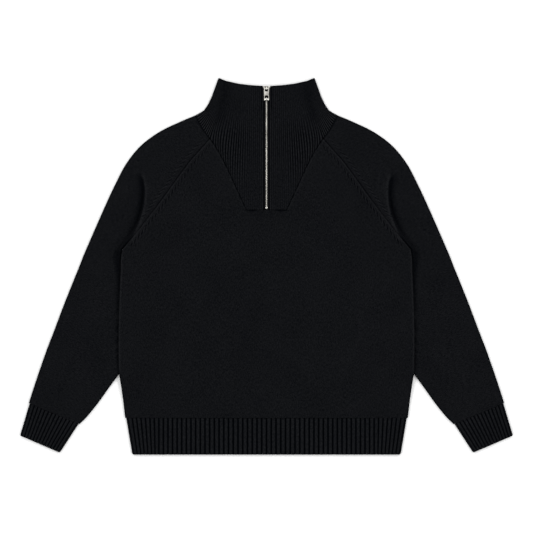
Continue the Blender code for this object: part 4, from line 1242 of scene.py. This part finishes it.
def slider(name, node, look):
    """Upper plate with two wings, sunk in the middle, the core round the teeth, and the tab's crown."""
    sunk = rounded(-3.4, 3.4, TAB_Y - 6.8, TAB_Y - 1.8, 0.8)
    slots = both_sides(1.9, 0.7, TAB_Y - 1.6, ZIP_TOP - 0.5, 0.5)
    core = rounded(-CORE_HALF, CORE_HALF, SLIDER_FOOT + 0.3, ZIP_TOP - 0.6, 0.6)
    rails = both_sides(4.2, 0.9, SLIDER_FOOT + 1.2, ZIP_TOP - 4.4, 0.8)
    crown = cut_plate([arch(2.7, 8.3, CROWN_SPRING, 13)[::-1], arch(1.5, 8.55, 9.95, 11)], -0.95, 0.95, 0.3)
    crown.vertices.foreach_set("co", vertices(crown)[:, [2, 0, 1]].ravel())
    mesh = joined([cut_plate([mirrored(SLIDER_HALF)[::-1], sunk, *slots], PLATE_BASE, PLATE_TOP, 0.2),
                   cut_plate([core], CHAIN_BASE, CORE_TOP, 0.3),
                   *(cut_plate([rail], PLATE_TOP - 0.3, PLATE_TOP + 0.25, 0.25) for rail in rails), crown])
    # the core and what lies as low are painted black as shade, and the crown above its spring gets a painted
    # highlight
    mark(mesh, "recess_shade", CHAIN_BASE, CORE_TOP + 0.1)
    mark(mesh, "painted_highlight", CROWN_SPRING, FAR)
    return dress(name, node, mesh, look)


def arch(radius, low, spring, steps):
    """Side view of the crown or of the opening through it, over the hinge."""
    around = [(TAB_Y - radius * math.cos(a), spring + radius * math.sin(a))
              for a in np.radians(np.linspace(0, 180, steps))]
    return [(TAB_Y - radius, low), *around, (TAB_Y + radius, low)]


def pull_tab(name, node, look):
    """A flat tab with an eye round the crown, a black sheet of painted shade near its end and two raised pads
    below it.
    """
    end, foot = TAB_Y + 1.0, TAB_Y + 1.0 - TAB_LENGTH
    rim = rounded(-TAB_HALF, TAB_HALF, foot, end, 1.3)
    hollowed = [(x, foot + 1.7 * (1 - (x / 3.4) ** 2)) for x in np.linspace(-3.4, 3.4, 9)]
    rim = [(x * (1 - WAIST * swell(y - WAIST_Y, 5.5)), y) for x, y in (*rim[:15], *hollowed, *rim[15:])]
    eye = rounded(-3.1, 3.1, TAB_Y - 6.1, TAB_Y - 1.4, 0.9)[::-1]
    shade_sheet = rounded(-3.9, 3.9, 335.3, 341.8, 0.8)
    pads = both_sides(3.0, 1.5, foot + 0.8, 335.0, 1.0)
    mesh = joined([cut_plate([rim, eye, WINDOW], TAB_Z - 0.55, TAB_Z + 0.55, 0.2),
                   cut_plate([shade_sheet], TAB_Z - 0.3, TAB_Z - 0.1, 0.05),
                   *(cut_plate([pad], TAB_Z + 0.1, TAB_Z + 0.95, 0.35) for pad in pads)])
    # the black sheet is painted shade, and the tops of the pads get a painted highlight
    mark(mesh, "recess_shade", TAB_Z - 0.31, TAB_Z - 0.09)
    mark(mesh, "painted_highlight", TAB_Z + 0.6, TAB_Z + 1.0)
    return dress(name, node, mesh, look, body="tab")


# ---------------------------------------------------------------- the garment

BODY_KNIT = knit_look("black_knit", YARN_LIGHT, (1.9, 5.0), shaped=True)
SLEEVE_KNIT = knit_look("black_sleeve_knit", YARN_LIGHT, (6.5, 1.8), shaped=True)
RIB = knit_look("black_rib", (0.0138, 0.0145, 0.0162), (2.4, 5.0))
COLLAR_RIB = knit_look("black_collar_rib", (0.0126, 0.0131, 0.0147), (2.4, 5.0), gain=0.8)
TAPE = tape_look()
METAL = metal_look()

body = {
    "knit_front": panel("knit_front", "front_panel", True, BODY_KNIT),
    "knit_back": panel("knit_back", "back_panel", False, BODY_KNIT),
    "rib_hem": ribbed_tube("rib_hem", "hem_rib", RIB, **HEM),
    "rib_collar_back": collar_back("rib_collar_back", "collar_back", COLLAR_RIB),
}
for word, side in (("right", 1), ("left", -1)):
    body["knit_sleeve_" + word] = sleeve("knit_sleeve_" + word, "sleeve_" + word, side, SLEEVE_KNIT)
    body["rib_cuff_" + word] = ribbed_tube("rib_cuff_" + word, "cuff_" + word, RIB, side=side, **CUFF)
    body["rib_collar_" + word] = collar_front("rib_collar_" + word, "collar_" + word, side, COLLAR_RIB)
    body["tape_" + word] = zip_tape("tape_" + word, "zip_tape_" + word, side, TAPE)
zip_chain("zip_teeth", "zip_chain", METAL)
bottom_stop("zip_foot", "zip_bottom_stop", METAL)
slider("zip_slide", "zip_slider", METAL)
pull_tab("zip_tab", "pull_tab", METAL)


FLOOR = "floor"
FLOOR_LEVEL = -0.0004       # metres, as the rest of the studio
LAMPS = ((1.5, 1.3, 30), (-1.5, 1.3, 30), (1.5, -1.3, 20), (-1.5, -1.3, 20))     # x, y and power
LAMP_HEIGHT = 2.3
CAMERA_DISTANCE = 4.0
PICTURE_WIDTH = 1.066


def studio():
    """A white floor, soft light from all round and the camera straight above."""
    bpy.ops.mesh.primitive_plane_add(size=8, location=(0, 0, FLOOR_LEVEL))
    floor = bpy.context.object
    floor.name = FLOOR
    look = Look("white_floor", Roughness=0.9, Specular_IOR_Level=0.1)
    look.surface("Base Color", look.blend(look.noise(3.0), (0.90, 0.90, 0.90), (0.92, 0.92, 0.92)))
    floor.data.materials.append(look.material)

    world = bpy.data.worlds.new("studio")
    world.use_nodes = True
    sky = world.node_tree.nodes["Background"].inputs
    sky["Color"].default_value = (1, 1, 1, 1)
    sky["Strength"].default_value = 0.55
    bpy.context.scene.world = world
    for x, y, power in LAMPS:
        light = bpy.data.lights.new("softbox", "AREA")
        light.size = 1.4
        light.energy = power
        lamp = bpy.data.objects.new("softbox", light)
        lamp.location = (x, y, LAMP_HEIGHT)
        lamp.rotation_euler = (math.atan2(math.hypot(x, y), LAMP_HEIGHT), 0, math.atan2(-x, y) + math.pi)
        bpy.context.collection.objects.link(lamp)

    camera = bpy.data.cameras.new("camera")
    camera.lens = camera.sensor_width * CAMERA_DISTANCE / PICTURE_WIDTH
    camera.clip_end = 50
    eye = bpy.data.objects.new("camera", camera)
    eye.location = (0, -0.0005, CAMERA_DISTANCE + FLAT * MM)
    bpy.context.collection.objects.link(eye)
    bpy.context.scene.camera = eye
    bpy.context.scene.view_settings.view_transform = "Standard"


studio()
